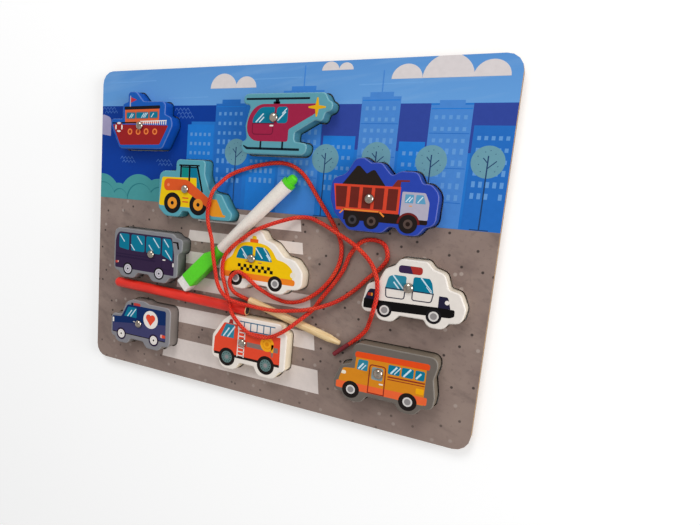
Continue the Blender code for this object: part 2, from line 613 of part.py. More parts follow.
def smooth_line(route, per_span=16):
    """Return dense points on a Catmull-Rom curve through a route."""
    knots = np.array([2 * route[0] - route[1], *route, 2 * route[-1] - route[-2]])
    line = []
    for a, b, c, d in zip(knots, knots[1:], knots[2:], knots[3:]):
        first = np.linalg.norm(b - a) ** 0.5
        second = first + np.linalg.norm(c - b) ** 0.5
        third = second + np.linalg.norm(d - c) ** 0.5
        for t in np.linspace(first, second, per_span, endpoint=False):
            ab = a + (b - a) * t / first
            bc = b + (c - b) * (t - first) / (second - first)
            cd = c + (d - c) * (t - second) / (third - second)
            abc = ab + (bc - ab) * t / second
            bcd = bc + (cd - bc) * (t - first) / (third - first)
            line.append(abc + (bcd - abc) * (t - first) / (second - first))
    line.append(route[-1])
    return np.array(line)


def even_points(line, count):
    """Pick points along a line, closer together where it bends."""
    steps = np.diff(line, axis=0)
    lengths = np.linalg.norm(steps, axis=1)
    ways = steps / lengths[:, None]
    bends = np.zeros(len(lengths))
    bends[1:] = np.arccos(np.clip((ways[1:] * ways[:-1]).sum(axis=1), -1, 1))
    travelled = np.concatenate(([0.0], np.cumsum(lengths + CORD_BEND_LENGTH * bends)))
    wanted = np.linspace(0.0, travelled[-1], count)
    return np.column_stack([np.interp(wanted, travelled, line[:, axis]) for axis in range(3)])


def least_self_gap(points, diameter):
    """Return the least gap between stretches of a cord that lie apart along it."""
    dense = np.concatenate([np.linspace(a, b, 12, endpoint=False) for a, b in zip(points, points[1:])])
    steps = np.linalg.norm(np.diff(dense, axis=0), axis=1)
    along = np.concatenate(([0.0], np.cumsum(steps)))
    apart = np.abs(along[:, None] - along[None, :]) > 6 * diameter
    distances = np.linalg.norm(dense[:, None, :] - dense[None, :, :], axis=2)
    return distances[apart].min() - diameter


def build_cord(collection):
    """Make the cord along its route, and the stiff tip on its free end."""
    route = np.array([plan(point, BOARD_TOP + point[2] * PLAN_STEP) for point in CORD_ROUTE])
    line = smooth_line(route)
    points = even_points(line, CORD_SECTIONS)
    curve = bpy.data.curves.new("cord", "CURVE")
    curve.dimensions = "3D"
    curve.bevel_depth = CORD_RADIUS
    curve.bevel_resolution = 2
    curve.use_fill_caps = True
    spline = curve.splines.new("POLY")
    spline.points.add(len(points) - 1)
    for knot, point in zip(spline.points, points):
        knot.co = (*point, 1.0)
    guide = link("cord", curve, collection)
    mesh = as_mesh(guide)
    shade(mesh)
    link_mesh("cord", mesh, guide, collection, finish("Red cord", (0.80, 0.03, 0.02), 0.7))

    height = BOARD_TOP + TOUCH_GAP + CORD_TIP_RADIUS
    frame = lying_frame("Tip axis", CORD_TIP_PLACE, height, collection)
    far = CORD_TIP_LENGTH + TOUCH_GAP
    edge = CORD_TIP_RADIUS / 3
    tip = turned("cord_tip", [(0.0, far), (CORD_TIP_RADIUS - edge, far), (CORD_TIP_RADIUS, far - edge),
                              (CORD_TIP_RADIUS, TOUCH_GAP), (0.0, TOUCH_GAP)],
                 collection, finish("Dull red sleeve", (0.30, 0.03, 0.04), 0.6), PIN_STEPS)
    tip.parent = frame
    length = np.linalg.norm(np.diff(line, axis=0), axis=1).sum()
    print(f"Cord length {length:.4f} m, least gap to itself "
          f"{least_self_gap(points, 2 * CORD_RADIUS) * 1000:.2f} mm")


def main():
    """Build the whole puzzle."""
    clear_scene()
    collection = new_collection("Magnetic fishing puzzle")
    cutters = new_collection("Cutters")
    steel = finish("Polished steel", (0.75, 0.73, 0.70), 0.15, 1.0)
    build_board(collection)
    for vehicle in VEHICLES:
        build_vehicle(vehicle, steel, collection, cutters)
    build_marker(collection, cutters)
    build_magnet_rod(collection)
    build_needle(collection)
    build_cord(collection)
    half_length, half_width = board_half_sizes()
    print(f"Board {2 * half_length * 1000:.1f} x {2 * half_width * 1000:.1f} x {BOARD_TOP * 1000:.1f} mm")


main()
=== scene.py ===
"""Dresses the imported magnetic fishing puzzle: paints, printed faces, pins, cord, floor, light and camera.

Plan points are in millimetres from the board's centre, with +X along its long side.
Everything else is in metres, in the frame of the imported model.
"""

from __future__ import annotations

import json
import logging
import math
from dataclasses import dataclass
from enum import Enum
from typing import Sequence, Union

import bmesh
import bpy
import numpy as np
from mathutils import Euler, Matrix, Vector

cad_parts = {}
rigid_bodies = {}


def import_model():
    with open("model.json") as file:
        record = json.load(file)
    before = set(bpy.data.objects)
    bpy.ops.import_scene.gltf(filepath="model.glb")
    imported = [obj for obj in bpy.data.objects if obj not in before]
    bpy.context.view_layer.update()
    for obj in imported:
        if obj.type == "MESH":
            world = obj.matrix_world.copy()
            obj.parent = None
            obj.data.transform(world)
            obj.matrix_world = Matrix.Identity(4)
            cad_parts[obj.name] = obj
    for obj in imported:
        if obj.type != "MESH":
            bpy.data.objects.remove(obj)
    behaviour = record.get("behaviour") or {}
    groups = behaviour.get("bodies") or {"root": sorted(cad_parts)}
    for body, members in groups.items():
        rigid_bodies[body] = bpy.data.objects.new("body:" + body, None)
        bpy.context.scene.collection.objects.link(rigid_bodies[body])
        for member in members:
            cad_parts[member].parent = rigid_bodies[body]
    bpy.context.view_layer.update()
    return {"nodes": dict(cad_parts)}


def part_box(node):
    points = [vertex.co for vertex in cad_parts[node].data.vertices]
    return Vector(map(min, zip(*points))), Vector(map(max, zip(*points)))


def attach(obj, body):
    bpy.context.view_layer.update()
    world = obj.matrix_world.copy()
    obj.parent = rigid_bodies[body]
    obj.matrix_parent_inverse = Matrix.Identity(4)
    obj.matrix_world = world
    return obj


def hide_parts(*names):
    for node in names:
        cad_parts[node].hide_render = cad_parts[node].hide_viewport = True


LOG = logging.getLogger("fishing_puzzle")

MM = 0.001
INK_COAT = 0.02 * MM
INK_SINK = 0.01 * MM
CORNER_SEGMENTS = 5
DISC_SEGMENTS = 36
HALF_DISC_SEGMENTS = 20
TURNED_SEGMENTS = 48
SAME_POINT = 0.001 * MM
FLAT_ANGLE = math.radians(1)
SHARP_ANGLE = math.radians(38)
# From the plane that the vehicles are drawn on to their raised faces
PRINT_SHIFT = (1.6, 0.6)

Point = tuple[float, ...]
Colour = tuple[float, float, float, float]
Feed = Union["Value", bpy.types.NodeSocket, str, float, tuple]


def linear(code: str) -> Colour:
    """Turn a six-digit colour code into a linear colour.

    Args:
        code: The colour as it shows on a screen, such as "c8322e".

    Returns:
        Red, green, blue and an alpha of 1.
    """
    shown = [int(code[start:start + 2], 16) / 255 for start in (0, 2, 4)]
    light = [part / 12.92 if part <= 0.04045 else ((part + 0.055) / 1.055) ** 2.4 for part in shown]
    return *light, 1.0


def toned(code: str, share: float) -> Colour:
    """Return a colour made darker or lighter by a share of itself.

    Args:
        code: The colour's six-digit code.
        share: What its light is multiplied by.

    Returns:
        The linear colour.
    """
    red, green, blue, alpha = linear(code)
    return min(red * share, 1.0), min(green * share, 1.0), min(blue * share, 1.0), alpha


class Ink(Enum):
    """The printing inks and paints, by their six-digit colour."""

    WHITE = "ece5de"
    CREAM = "ece3cf"
    PALE_GLINT = "cfe3ee"
    BLACK = "0b0909"
    INDIGO_BLACK = "081b27"
    ROOF_BLACK = "15161e"
    TYRE = "161417"
    TYRE_BROWN = "1f1816"
    GLASS_TEAL = "027592"
    GLASS_GREEN = "07857f"
    GLASS_MUTED = "2b839c"
    GLASS_BLUE = "5b9cc0"
    HULL_RED = "9a1f22"
    CABIN_ORANGE = "dd6437"
    FRAME_BROWN = "a55a4c"
    PORT_ORANGE = "ee8040"
    PORT_RED = "a83416"
    PENNANT = "c03040"
    CRIMSON = "9d2044"
    DARK_CRIMSON = "761736"
    # The yellow of the painted highlight on the helicopter's tail
    TAIL_GLINT_YELLOW = "e2ac0e"
    LOADER_YELLOW = "ecc40c"
    ARM_ORANGE = "dd5825"
    ARM_SPOT = "ee8458"
    HUB_ORANGE = "e9952c"
    BUCKET = "e29322"
    TIPPER_RED = "d5432a"
    PANEL_MAROON = "6a241c"
    BAR_ORANGE = "ea8a35"
    HEAP = "241c17"
    CHASSIS = "231612"
    CAB_LILAC = "b2adbe"
    FENDER_MAROON = "6e1d1a"
    HUB_DARK = "3e3a3e"
    HUB_BROWN = "55443e"
    EXHAUST = "7a2a24"
    COACH_PURPLE = "342342"
    COACH_DARK = "2b1c3c"
    HUB_PALE = "c9c5ce"
    TAIL_RED = "bb3f3b"
    TAIL_PINK = "e9b0a4"
    TAXI_YELLOW = "f4c404"
    TAXI_ORANGE = "f08322"
    LAMP_ORANGE = "e8611a"
    LAMP_YELLOW = "efc215"
    HUB_GREY = "8f8a8a"
    RIM_PALE = "d8d3cf"
    NAVY = "201e38"
    LIGHT_PLUM = "38254a"
    LIGHT_RED = "a9302a"
    AMBER = "ee9a2c"
    VAN_NAVY = "0a2a60"
    VAN_SLATE = "40406a"
    FIRE_RED = "e64a2e"
    LADDER_BLUE = "3f7192"
    BAR_GREY = "86726c"
    REEL_YELLOW = "f3a81e"
    REEL_DARK = "dd8a0c"
    HUB_TEAL = "64807e"
    BUS_ORANGE = "d8871b"
    BUS_ROOF = "e44b17"
    BUS_BAND = "ed6535"
    BUS_MAROON = "8f2f1e"
    BUS_AMBER = "f2aa07"
    BUS_GLASS = "8a9a9c"
    SEA_NAVY = "063a96"
    SEA_DEEP = "063c9b"
    SKY_STREAK = "6ba3de"
    WAVE = "4d78c4"
    INDIGO = "30459a"
    CLOUD = "dad2d2"
    ROCK = "a9a3c6"
    BUSH = "49989b"
    BUSH_LINE = "2f7c84"
    TOWER_BRIGHT = "1f7ad2"
    TOWER_MID = "246cc0"
    TOWER_PALE = "4084d4"
    TOWER_SKY = "4986d0"
    WINDOW_BLUE = "629ad8"
    CROWN = "6b9cab"
    BARK = "23406a"
    ZEBRA = "dfd3cd"


class Value:
    """A number that runs through a node tree, so that shader maths reads as an expression."""

    def __init__(self, nodes: NodeTree, socket: bpy.types.NodeSocket) -> None:
        """Wrap one output socket of a node tree."""
        self.nodes = nodes
        self.socket = socket

    def __add__(self, other: Value | float) -> Value:
        """Add a value or a number."""
        return self.nodes.math("ADD", self, other)

    def __radd__(self, other: float) -> Value:
        """Add this value to a number."""
        return self.nodes.math("ADD", other, self)

    def __sub__(self, other: Value | float) -> Value:
        """Take a value or a number away."""
        return self.nodes.math("SUBTRACT", self, other)

    def __rsub__(self, other: float) -> Value:
        """Take this value away from a number."""
        return self.nodes.math("SUBTRACT", other, self)

    def __mul__(self, other: Value | float) -> Value:
        """Multiply by a value or a number."""
        return self.nodes.math("MULTIPLY", self, other)

    def __rmul__(self, other: float) -> Value:
        """Multiply a number by this value."""
        return self.nodes.math("MULTIPLY", other, self)

    def __abs__(self) -> Value:
        """Return the size of the value without its sign."""
        return self.nodes.math("ABSOLUTE", self)

    def above(self, limit: float) -> Value:
        """Return 1 where the value is over a limit, else 0."""
        return self.nodes.math("GREATER_THAN", self, limit)

    def between(self, low: float, high: float) -> Value:
        """Return 0 below low, 1 above high and a straight ramp between."""
        return self.nodes.math("MULTIPLY_ADD", self, 1 / (high - low), -low / (high - low), clamp=True)


class NodeTree:
    """A node tree and the ways to add to it."""

    def __init__(self, tree: bpy.types.NodeTree) -> None:
        """Keep the tree."""
        self.tree = tree

    def node(self, kind: str, settings: dict, inputs: dict) -> bpy.types.Node:
        """Add one node.

        Args:
            kind: The node's type.
            settings: Its settings, set first.
            inputs: Values or links of its sockets, by name or number.

        Returns:
            The new node.
        """
        made = self.tree.nodes.new(kind)
        for name, setting in settings.items():
            setattr(made, name, setting)
        for name, value in inputs.items():
            self.feed(made.inputs[name], value)
        return made

    def feed(self, socket: bpy.types.NodeSocket, value: Feed) -> None:
        """Link or set a socket.

        Args:
            socket: The socket to feed.
            value: A value or a socket to link, a colour code, or any other constant.
        """
        source = value.socket if isinstance(value, Value) else value
        if isinstance(source, bpy.types.NodeSocket):
            self.tree.links.new(source, socket)
        else:
            socket.default_value = linear(source) if isinstance(source, str) else source

    def math(self, operation: str, *terms: Value | float, clamp: bool = False) -> Value:
        """Add a Math node.

        Args:
            operation: What it does.
            *terms: Its inputs in order.
            clamp: Whether its result stays between 0 and 1.

        Returns:
            Its result.
        """
        settings = {"operation": operation, "use_clamp": clamp}
        made = self.node("ShaderNodeMath", settings, dict(enumerate(terms)))
        return Value(self, made.outputs[0])

    def rays(self, *kinds: str) -> list[Value]:
        """Return the Light Path node's tests for some kinds of ray, each 1 or 0."""
        path = self.node("ShaderNodeLightPath", {}, {})
        return [Value(self, path.outputs[kind]) for kind in kinds]


class Surface(NodeTree):
    """A material in the making: its node tree, its shader and the nodes that feed it."""

    def __init__(self, name: str, roughness: float, **constants: float | Colour) -> None:
        """Start a material.

        Args:
            name: The material's name.
            roughness: The shader's roughness where nothing varies it.
            **constants: Other sockets of the shader, with _ for a space in their names.
        """
        self.material = bpy.data.materials.new(name)
        self.material.use_nodes = True
        super().__init__(self.material.node_tree)
        self.shader = self.tree.nodes["Principled BSDF"]
        self.shader.inputs["Roughness"].default_value = roughness
        for socket, value in constants.items():
            self.shader.inputs[socket.replace("_", " ")].default_value = value

    def place(self, stretch: Point = (1.0, 1.0, 1.0), turn: float = 0.0,
              centre: Point = (0.0, 0.0, 0.0)) -> bpy.types.NodeSocket:
        """Return Object coordinates, turned about Z and stretched.

        Args:
            stretch: Scale along each axis, after the turn.
            turn: Turn about Z in degrees.
            centre: The point that becomes the pattern's origin.

        Returns:
            The vector socket.
        """
        own = self.node("ShaderNodeTexCoord", {}, {}).outputs["Object"]
        moved = self.node("ShaderNodeVectorMath", {"operation": "SUBTRACT"}, {0: own, 1: centre})
        turned_back = self.node("ShaderNodeMapping", {"vector_type": "POINT"},
                                {"Vector": moved.outputs[0], "Rotation": (0.0, 0.0, math.radians(-turn))})
        scaled = self.node("ShaderNodeVectorMath", {"operation": "MULTIPLY"},
                           {0: turned_back.outputs[0], 1: stretch})
        return scaled.outputs[0]

    def parts(self, vector: bpy.types.NodeSocket) -> tuple[Value, Value, Value]:
        """Return the three parts of a vector."""
        made = self.node("ShaderNodeSeparateXYZ", {}, {0: vector})
        return Value(self, made.outputs[0]), Value(self, made.outputs[1]), Value(self, made.outputs[2])

    def noise(self, scale: float, detail: float = 3.0, **place: Point | float) -> Value:
        """Return a noise over the piece.

        Args:
            scale: Its scale per metre.
            detail: Its detail.
            **place: What place() takes.

        Returns:
            Its value, from 0 to 1.
        """
        inputs = {"Vector": self.place(**place), "Scale": scale, "Detail": detail}
        made = self.node("ShaderNodeTexNoise", {}, inputs)
        return Value(self, made.outputs[0])

    def dots(self, scale: float, low: float, high: float, **place: Point | float) -> Value:
        """Return soft round dots, scattered over the plan.

        Args:
            scale: How many of them there are along a metre.
            low: The radius of their full middle, as a share of their spacing.
            high: The radius at which they end.
            **place: What place() takes.

        Returns:
            1 in a dot and 0 between the dots.
        """
        made = self.node("ShaderNodeTexVoronoi", {"voronoi_dimensions": "2D"},
                         {"Vector": self.place(**place), "Scale": scale})
        return 1 - Value(self, made.outputs["Distance"]).between(low, high)

    def mix(self, first: Feed, second: Feed, share: Value | float) -> bpy.types.NodeSocket:
        """Mix two colours.

        Args:
            first: The colour at a share of 0.
            second: The colour at a share of 1.
            share: How much of the second shows.

        Returns:
            The mixed colour's socket.
        """
        settings = {"data_type": "RGBA", "clamp_factor": True}
        made = self.node("ShaderNodeMix", settings, {0: share, 6: first, 7: second})
        return made.outputs[2]

    def colour(self, first: Feed, second: Feed, share: Value | float) -> None:
        """Give the shader a mix of two colours, as mix() takes them."""
        self.feed(self.shader.inputs["Base Color"], self.mix(first, second, share))

    def roughness(self, value: Value) -> None:
        """Vary the shader's roughness."""
        self.feed(self.shader.inputs["Roughness"], value)

    def bump(self, height: Value, depth: float, strength: float) -> None:
        """Raise the surface by a height between 0 and 1.

        Args:
            height: The relief.
            depth: How far the relief reaches, in metres.
            strength: How strongly it turns the normal.
        """
        made = self.node("ShaderNodeBump", {},
                         {"Height": height, "Distance": depth, "Strength": strength})
        self.feed(self.shader.inputs["Normal"], made.outputs[0])


@dataclass(frozen=True)
class PrintedInk:
    """A satin ink with a faint mottle, over the grain of the wood beneath it."""

    ink: Ink
    roughness: float = 0.42
    mottle: float = 0.03
    shine: float = 0.1

    def make(self) -> bpy.types.Material:
        """Return the ink's material."""
        surface = Surface("ink_" + self.ink.name.lower(), self.roughness, Specular_IOR_Level=self.shine)
        dark, pale, screened = (toned(self.ink.value, 1 + share * self.mottle) for share in (-1, 1, -1.6))
        cloudy = surface.noise(380, 4)
        screen = surface.noise(2600, 2, stretch=(1.0, 1.6, 1.0), turn=28)
        mixed = surface.mix(dark, pale, cloudy.between(0.3, 0.7))
        surface.colour(mixed, screened, screen.between(0.58, 0.78) * 0.6)
        grain = surface.noise(420, 4, stretch=(1.0, 9.0, 1.0))
        surface.roughness(self.roughness + 0.16 * cloudy.between(0.35, 0.75))
        surface.bump(grain, 0.05 * MM, 0.35)
        return surface.material


@dataclass(frozen=True)
class PaintedBlock:
    """Satin paint on a wooden piece: even on top, thin on the rounded edge with a painted highlight there,
    brushed on its walls with painted shade low down.
    """

    name: str
    top: str
    wall: str
    top_level: float
    rounding: float = 0.9 * MM

    def make(self) -> bpy.types.Material:
        """Return the paint's material."""
        surface = Surface(self.name, 0.34, Specular_IOR_Level=0.16)
        _, _, height = surface.parts(surface.place())
        cloudy = surface.noise(300, 4)
        layers = surface.noise(900, 4, stretch=(0.25, 0.25, 3.2))
        top = surface.mix(toned(self.top, 0.97), toned(self.top, 1.02), cloudy.between(0.3, 0.7))
        wall = surface.mix(toned(self.wall, 0.88), toned(self.wall, 1.06), layers.between(0.3, 0.7))
        wall_top = self.top_level - self.rounding
        on_wall = 1 - height.between(wall_top - self.rounding * 0.15, wall_top + self.rounding * 0.25)
        painted = surface.mix(top, wall, on_wall)
        # Painted shade: the walls darken low down, near the board, towards a dark copy of their paint.
        low_on_wall = 1 - height.between(self.top_level - 9 * MM, self.top_level - 5 * MM)
        shaded = surface.mix(painted, toned(self.wall, 0.6), low_on_wall * 0.4)
        on_edge = height.above(wall_top) * (1 - height.above(self.top_level - 0.2 * MM))
        # Painted highlight: a pale band along the rounded edge. The chips of bare wood there are real wear.
        wear_and_highlight = surface.mix(shaded, "f2ece4", on_edge * 0.1)
        chips = surface.noise(1500).between(0.66, 0.72)
        surface.colour(wear_and_highlight, "d9c6a3", chips * on_edge * 0.5)
        surface.roughness(0.30 + 0.18 * cloudy.between(0.3, 0.8) + 0.1 * on_wall)
        surface.bump(layers * on_wall * 0.7 + cloudy * 0.3, 0.06 * MM, 0.5)
        return surface.material


@dataclass(frozen=True)
class PrintedPanel:
    """The frame panel: sky, water and road printed on its face, raw board at its edges."""

    face_level: float
    horizon: float = 87.0 * MM
    haze: float = 26.0 * MM
    shore: float = 17.6 * MM
    pale_end: tuple[float, float] = (-112.0 * MM, -70.0 * MM)

    def make(self) -> bpy.types.Material:
        """Return the panel's material."""
        surface = Surface("board_print", 0.42, Specular_IOR_Level=0.12)
        _, along, height = surface.parts(surface.place())
        cloudy = surface.noise(40, 4)
        fine = surface.noise(420, 4)
        sky = surface.mix("659fdc", "5992d2", along.between(self.horizon, self.horizon + self.haze))
        streaks = surface.noise(60, stretch=(0.3, 2.4, 1.0), turn=8)
        sky = surface.mix(sky, "86b2e0", streaks.between(0.5, 0.8) * 0.5)
        water = surface.mix("2379cf", "1f6abd", cloudy.between(0.3, 0.7))
        painted = surface.mix(water, sky, along.above(self.horizon))
        road = self.mix_road(surface, along, cloudy, fine)
        face = surface.mix(road, painted, along.above(self.shore))
        ply = surface.noise(700, 4, stretch=(1.0, 1.0, 9.0))
        raw = surface.mix("8a6748", "c7a67b", ply.between(0.35, 0.65))
        on_face = height.above(self.face_level - 0.06 * MM)
        surface.colour(raw, face, on_face)
        surface.roughness(0.72 - 0.32 * on_face + 0.1 * fine)
        surface.bump(ply * (1 - on_face) + 0.25 * fine, 0.08 * MM, 0.4)
        return surface.material

    def mix_road(self, surface: Surface, along: Value, cloudy: Value, fine: Value) -> bpy.types.NodeSocket:
        """Mix the road's speckled grey, paler towards the viewer.

        Args:
            surface: The panel's surface.
            along: The place across the road.
            cloudy: The wide noise.
            fine: The narrow noise.

        Returns:
            The road's colour.
        """
        road = surface.mix("86736c", "9a877d", cloudy.between(0.35, 0.7))
        wear_and_highlight = surface.noise(75, 5, stretch=(1.0, 2.2, 1.0), turn=-20)
        road = surface.mix(road, "6e5f5a", wear_and_highlight.between(0.52, 0.8) * 0.7)
        road = surface.mix(road, "5e504b", fine.between(0.58, 0.75) * 0.35)
        road = surface.mix(road, "37302e", surface.dots(68, 0.045, 0.065) * 0.9)
        pale = surface.dots(52, 0.045, 0.07, centre=(0.4, 0.3, 0.0))
        road = surface.mix(road, "b7aaa2", pale * 0.55)
        return surface.mix("8d7a71", road, 0.55 + 0.45 * along.between(*self.pale_end))


@dataclass(frozen=True)
class WhiteBoard:
    """The base panel: white dry-wipe faces and brown fibreboard edges."""

    thickness: float
    skin: float = 0.02 * MM

    def make(self) -> bpy.types.Material:
        """Return the panel's material."""
        surface = Surface("white_board", 0.3, Specular_IOR_Level=0.5)
        _, _, height = surface.parts(surface.place())
        on_face = height.above(self.thickness - self.skin) + (1 - height.above(self.skin))
        fibre = surface.noise(1400, 5, stretch=(1.0, 1.0, 5.0))
        edge = surface.mix("6b4c34", "a98258", fibre.between(0.3, 0.7))
        smears = surface.noise(60, 4, stretch=(0.4, 2.0, 1.0), turn=15)
        white = surface.mix("f3f2ee", "dcdad4", smears.between(0.45, 0.85))
        surface.colour(edge, white, on_face)
        surface.roughness(0.75 - 0.5 * on_face + 0.12 * smears)
        surface.bump(fibre * (1 - on_face) + 0.1 * smears, 0.05 * MM, 0.4)
        return surface.material


@dataclass(frozen=True)
class PolishedSteel:
    """The pins' bright steel, with fine scratches and a faint tarnish."""

    def make(self) -> bpy.types.Material:
        """Return the steel's material."""
        surface = Surface("polished_steel", 0.16, Metallic=1.0)
        scratches = surface.noise(1600, 4, stretch=(1.0, 7.0, 1.0), turn=35)
        tarnish = surface.noise(520)
        surface.colour("c4b8aa", "7c726a", tarnish.between(0.42, 0.8))
        surface.roughness(0.12 + 0.2 * scratches.between(0.4, 0.8))
        surface.bump(scratches, 0.01 * MM, 0.3)
        return surface.material


@dataclass(frozen=True)
class MouldedPlastic:
    """Glossy injection-moulded plastic with a soft orange peel and light scuffs."""

    name: str
    code: str
    roughness: float = 0.28

    def make(self) -> bpy.types.Material:
        """Return the plastic's material."""
        surface = Surface(self.name, self.roughness, Specular_IOR_Level=0.4)
        peel = surface.noise(900)
        scuffs = surface.noise(500, 5, stretch=(5.0, 1.0, 1.0), turn=52).between(0.62, 0.8)
        mottled = surface.mix(toned(self.code, 0.93), toned(self.code, 1.04), peel.between(0.3, 0.7))
        surface.colour(mottled, toned(self.code, 0.8), scuffs * 0.25)
        surface.roughness(self.roughness + 0.2 * scuffs + 0.05 * peel)
        surface.bump(peel - 0.4 * scuffs, 0.02 * MM, 0.35)
        return surface.material


@dataclass(frozen=True)
class WoolFelt:
    """Pressed felt: matt, fuzzy and a little grey where it has wiped."""

    name: str
    code: str

    def make(self) -> bpy.types.Material:
        """Return the felt's material."""
        surface = Surface(self.name, 0.95, Specular_IOR_Level=0.1, Sheen_Weight=0.4, Sheen_Roughness=0.6)
        fibres = surface.noise(3800, 5, stretch=(1.0, 3.0, 1.0), turn=20)
        tufts = surface.noise(900, 4)
        surface.colour(toned(self.code, 0.78), self.code, (0.6 * fibres + 0.4 * tufts).between(0.3, 0.6))
        surface.bump(fibres + 0.6 * tufts, 0.25 * MM, 0.8)
        return surface.material


@dataclass(frozen=True)
class RedLacquer:
    """Thick glossy lacquer on the rod, slightly wavy, with bare wood at its magnet end."""

    end: Point
    heading: float
    bare_length: float = 0.3 * MM

    def make(self) -> bpy.types.Material:
        """Return the lacquer's material."""
        surface = Surface("red_lacquer", 0.32, Specular_IOR_Level=0.4)
        from_end, _, _ = surface.parts(surface.place(turn=self.heading, centre=self.end))
        waves = surface.noise(190, stretch=(0.35, 1.0, 1.0))
        drips = surface.noise(900, 4)
        red = surface.mix("d8261a", "f23322", waves.between(0.3, 0.7))
        bare = surface.mix("c7985c", "e3c08a", drips.between(0.3, 0.7))
        edge = from_end + 0.35 * MM * drips
        surface.colour(bare, red, edge.between(self.bare_length, self.bare_length * 1.5))
        surface.roughness(0.28 + 0.16 * drips.between(0.4, 0.8))
        surface.bump(waves + 0.12 * drips, 0.35 * MM, 0.5)
        return surface.material


@dataclass(frozen=True)
class Ferrite:
    """The dull dark face of the magnet."""

    def make(self) -> bpy.types.Material:
        """Return the magnet's material."""
        surface = Surface("ferrite", 0.45, Metallic=0.4)
        grains = surface.noise(3500, 4)
        surface.colour("242326", "4a4748", grains.between(0.35, 0.75))
        surface.roughness(0.38 + 0.3 * grains)
        surface.bump(grains, 0.03 * MM, 0.6)
        return surface.material


@dataclass(frozen=True)
class BareBirch:
    """Turned birch with its grain along one heading."""

    heading: float

    def make(self) -> bpy.types.Material:
        """Return the wood's material."""
        surface = Surface("bare_birch", 0.55, Specular_IOR_Level=0.3)
        grain = surface.noise(75, 5, stretch=(1.0, 16.0, 16.0), turn=self.heading)
        pores = surface.noise(520, 4, stretch=(1.0, 7.0, 7.0), turn=self.heading).between(0.6, 0.75)
        wood = surface.mix("d9b37c", "efd6a8", grain.between(0.3, 0.7))
        surface.colour(wood, "a97845", pores * 0.6)
        surface.roughness(0.5 + 0.2 * pores)
        surface.bump(grain - 0.5 * pores, 0.05 * MM, 0.6)
        return surface.material


@dataclass(frozen=True)
class BraidedRed:
    """The cord's braid, drawn in the cord's own UV map: U goes round it, V runs along it in metres."""

    strands: int
    pick: float
    # Even, and far more than the crossings along the cord, so that MODULO never meets a number below 0
    lift: float = 4096.0

    def make(self) -> bpy.types.Material:
        """Return the braid's material."""
        surface = Surface("red_braid", 0.45, Specular_IOR_Level=0.3)
        mapped = surface.node("ShaderNodeUVMap", {"uv_map": "braid"}, {})
        around, along, _ = surface.parts(mapped.outputs[0])
        left = around * self.strands + along * (1 / self.pick)
        right = around * self.strands - along * (1 / self.pick)
        ridge_left = abs(surface.math("SINE", left * math.pi))
        ridge_right = abs(surface.math("SINE", right * math.pi))
        crossings = surface.math("FLOOR", left) + surface.math("FLOOR", right)
        over = surface.math("MODULO", crossings + self.lift, 2.0)
        relief = over * ridge_left + (1 - over) * ridge_right
        # Pale flecks on the ridges: painted glints.
        ridge_glints = surface.noise(2600).between(0.6, 0.72)
        # Dark in the grooves and bright on the ridges: painted shade and painted highlight.
        red = surface.mix("7e0c09", "e42a15", relief.between(0.15, 0.75))
        # Brighter orange patches on the ridges: painted highlight.
        wear_and_highlight = surface.noise(120)
        red = surface.mix(red, "fb5c30", wear_and_highlight.between(0.45, 0.7) * relief * 0.5)
        surface.colour(red, "f98a66", ridge_glints * relief * 0.4)
        surface.bump(relief, 0.16 * MM, 0.7)
        return surface.material


@dataclass(frozen=True)
class DullSleeve:
    """The cord's stiff sleeve: matt maroon, with a tight wrap across it."""

    centre: Point
    heading: float
    wrap: float = 0.55 * MM

    def make(self) -> bpy.types.Material:
        """Return the sleeve's material."""
        surface = Surface("dull_red_sleeve", 0.6, Specular_IOR_Level=0.3)
        along, _, _ = surface.parts(surface.place(turn=self.heading, centre=self.centre))
        wraps = abs(surface.math("SINE", along * (math.pi / self.wrap)))
        fuzz = surface.noise(2200, 4)
        # Darker between the wraps and lighter on them: painted shade in the grooves.
        surface.colour("5f1420", "94303a", wraps * 0.6 + fuzz * 0.4)
        surface.bump(wraps + 0.4 * fuzz, 0.08 * MM, 0.6)
        return surface.material


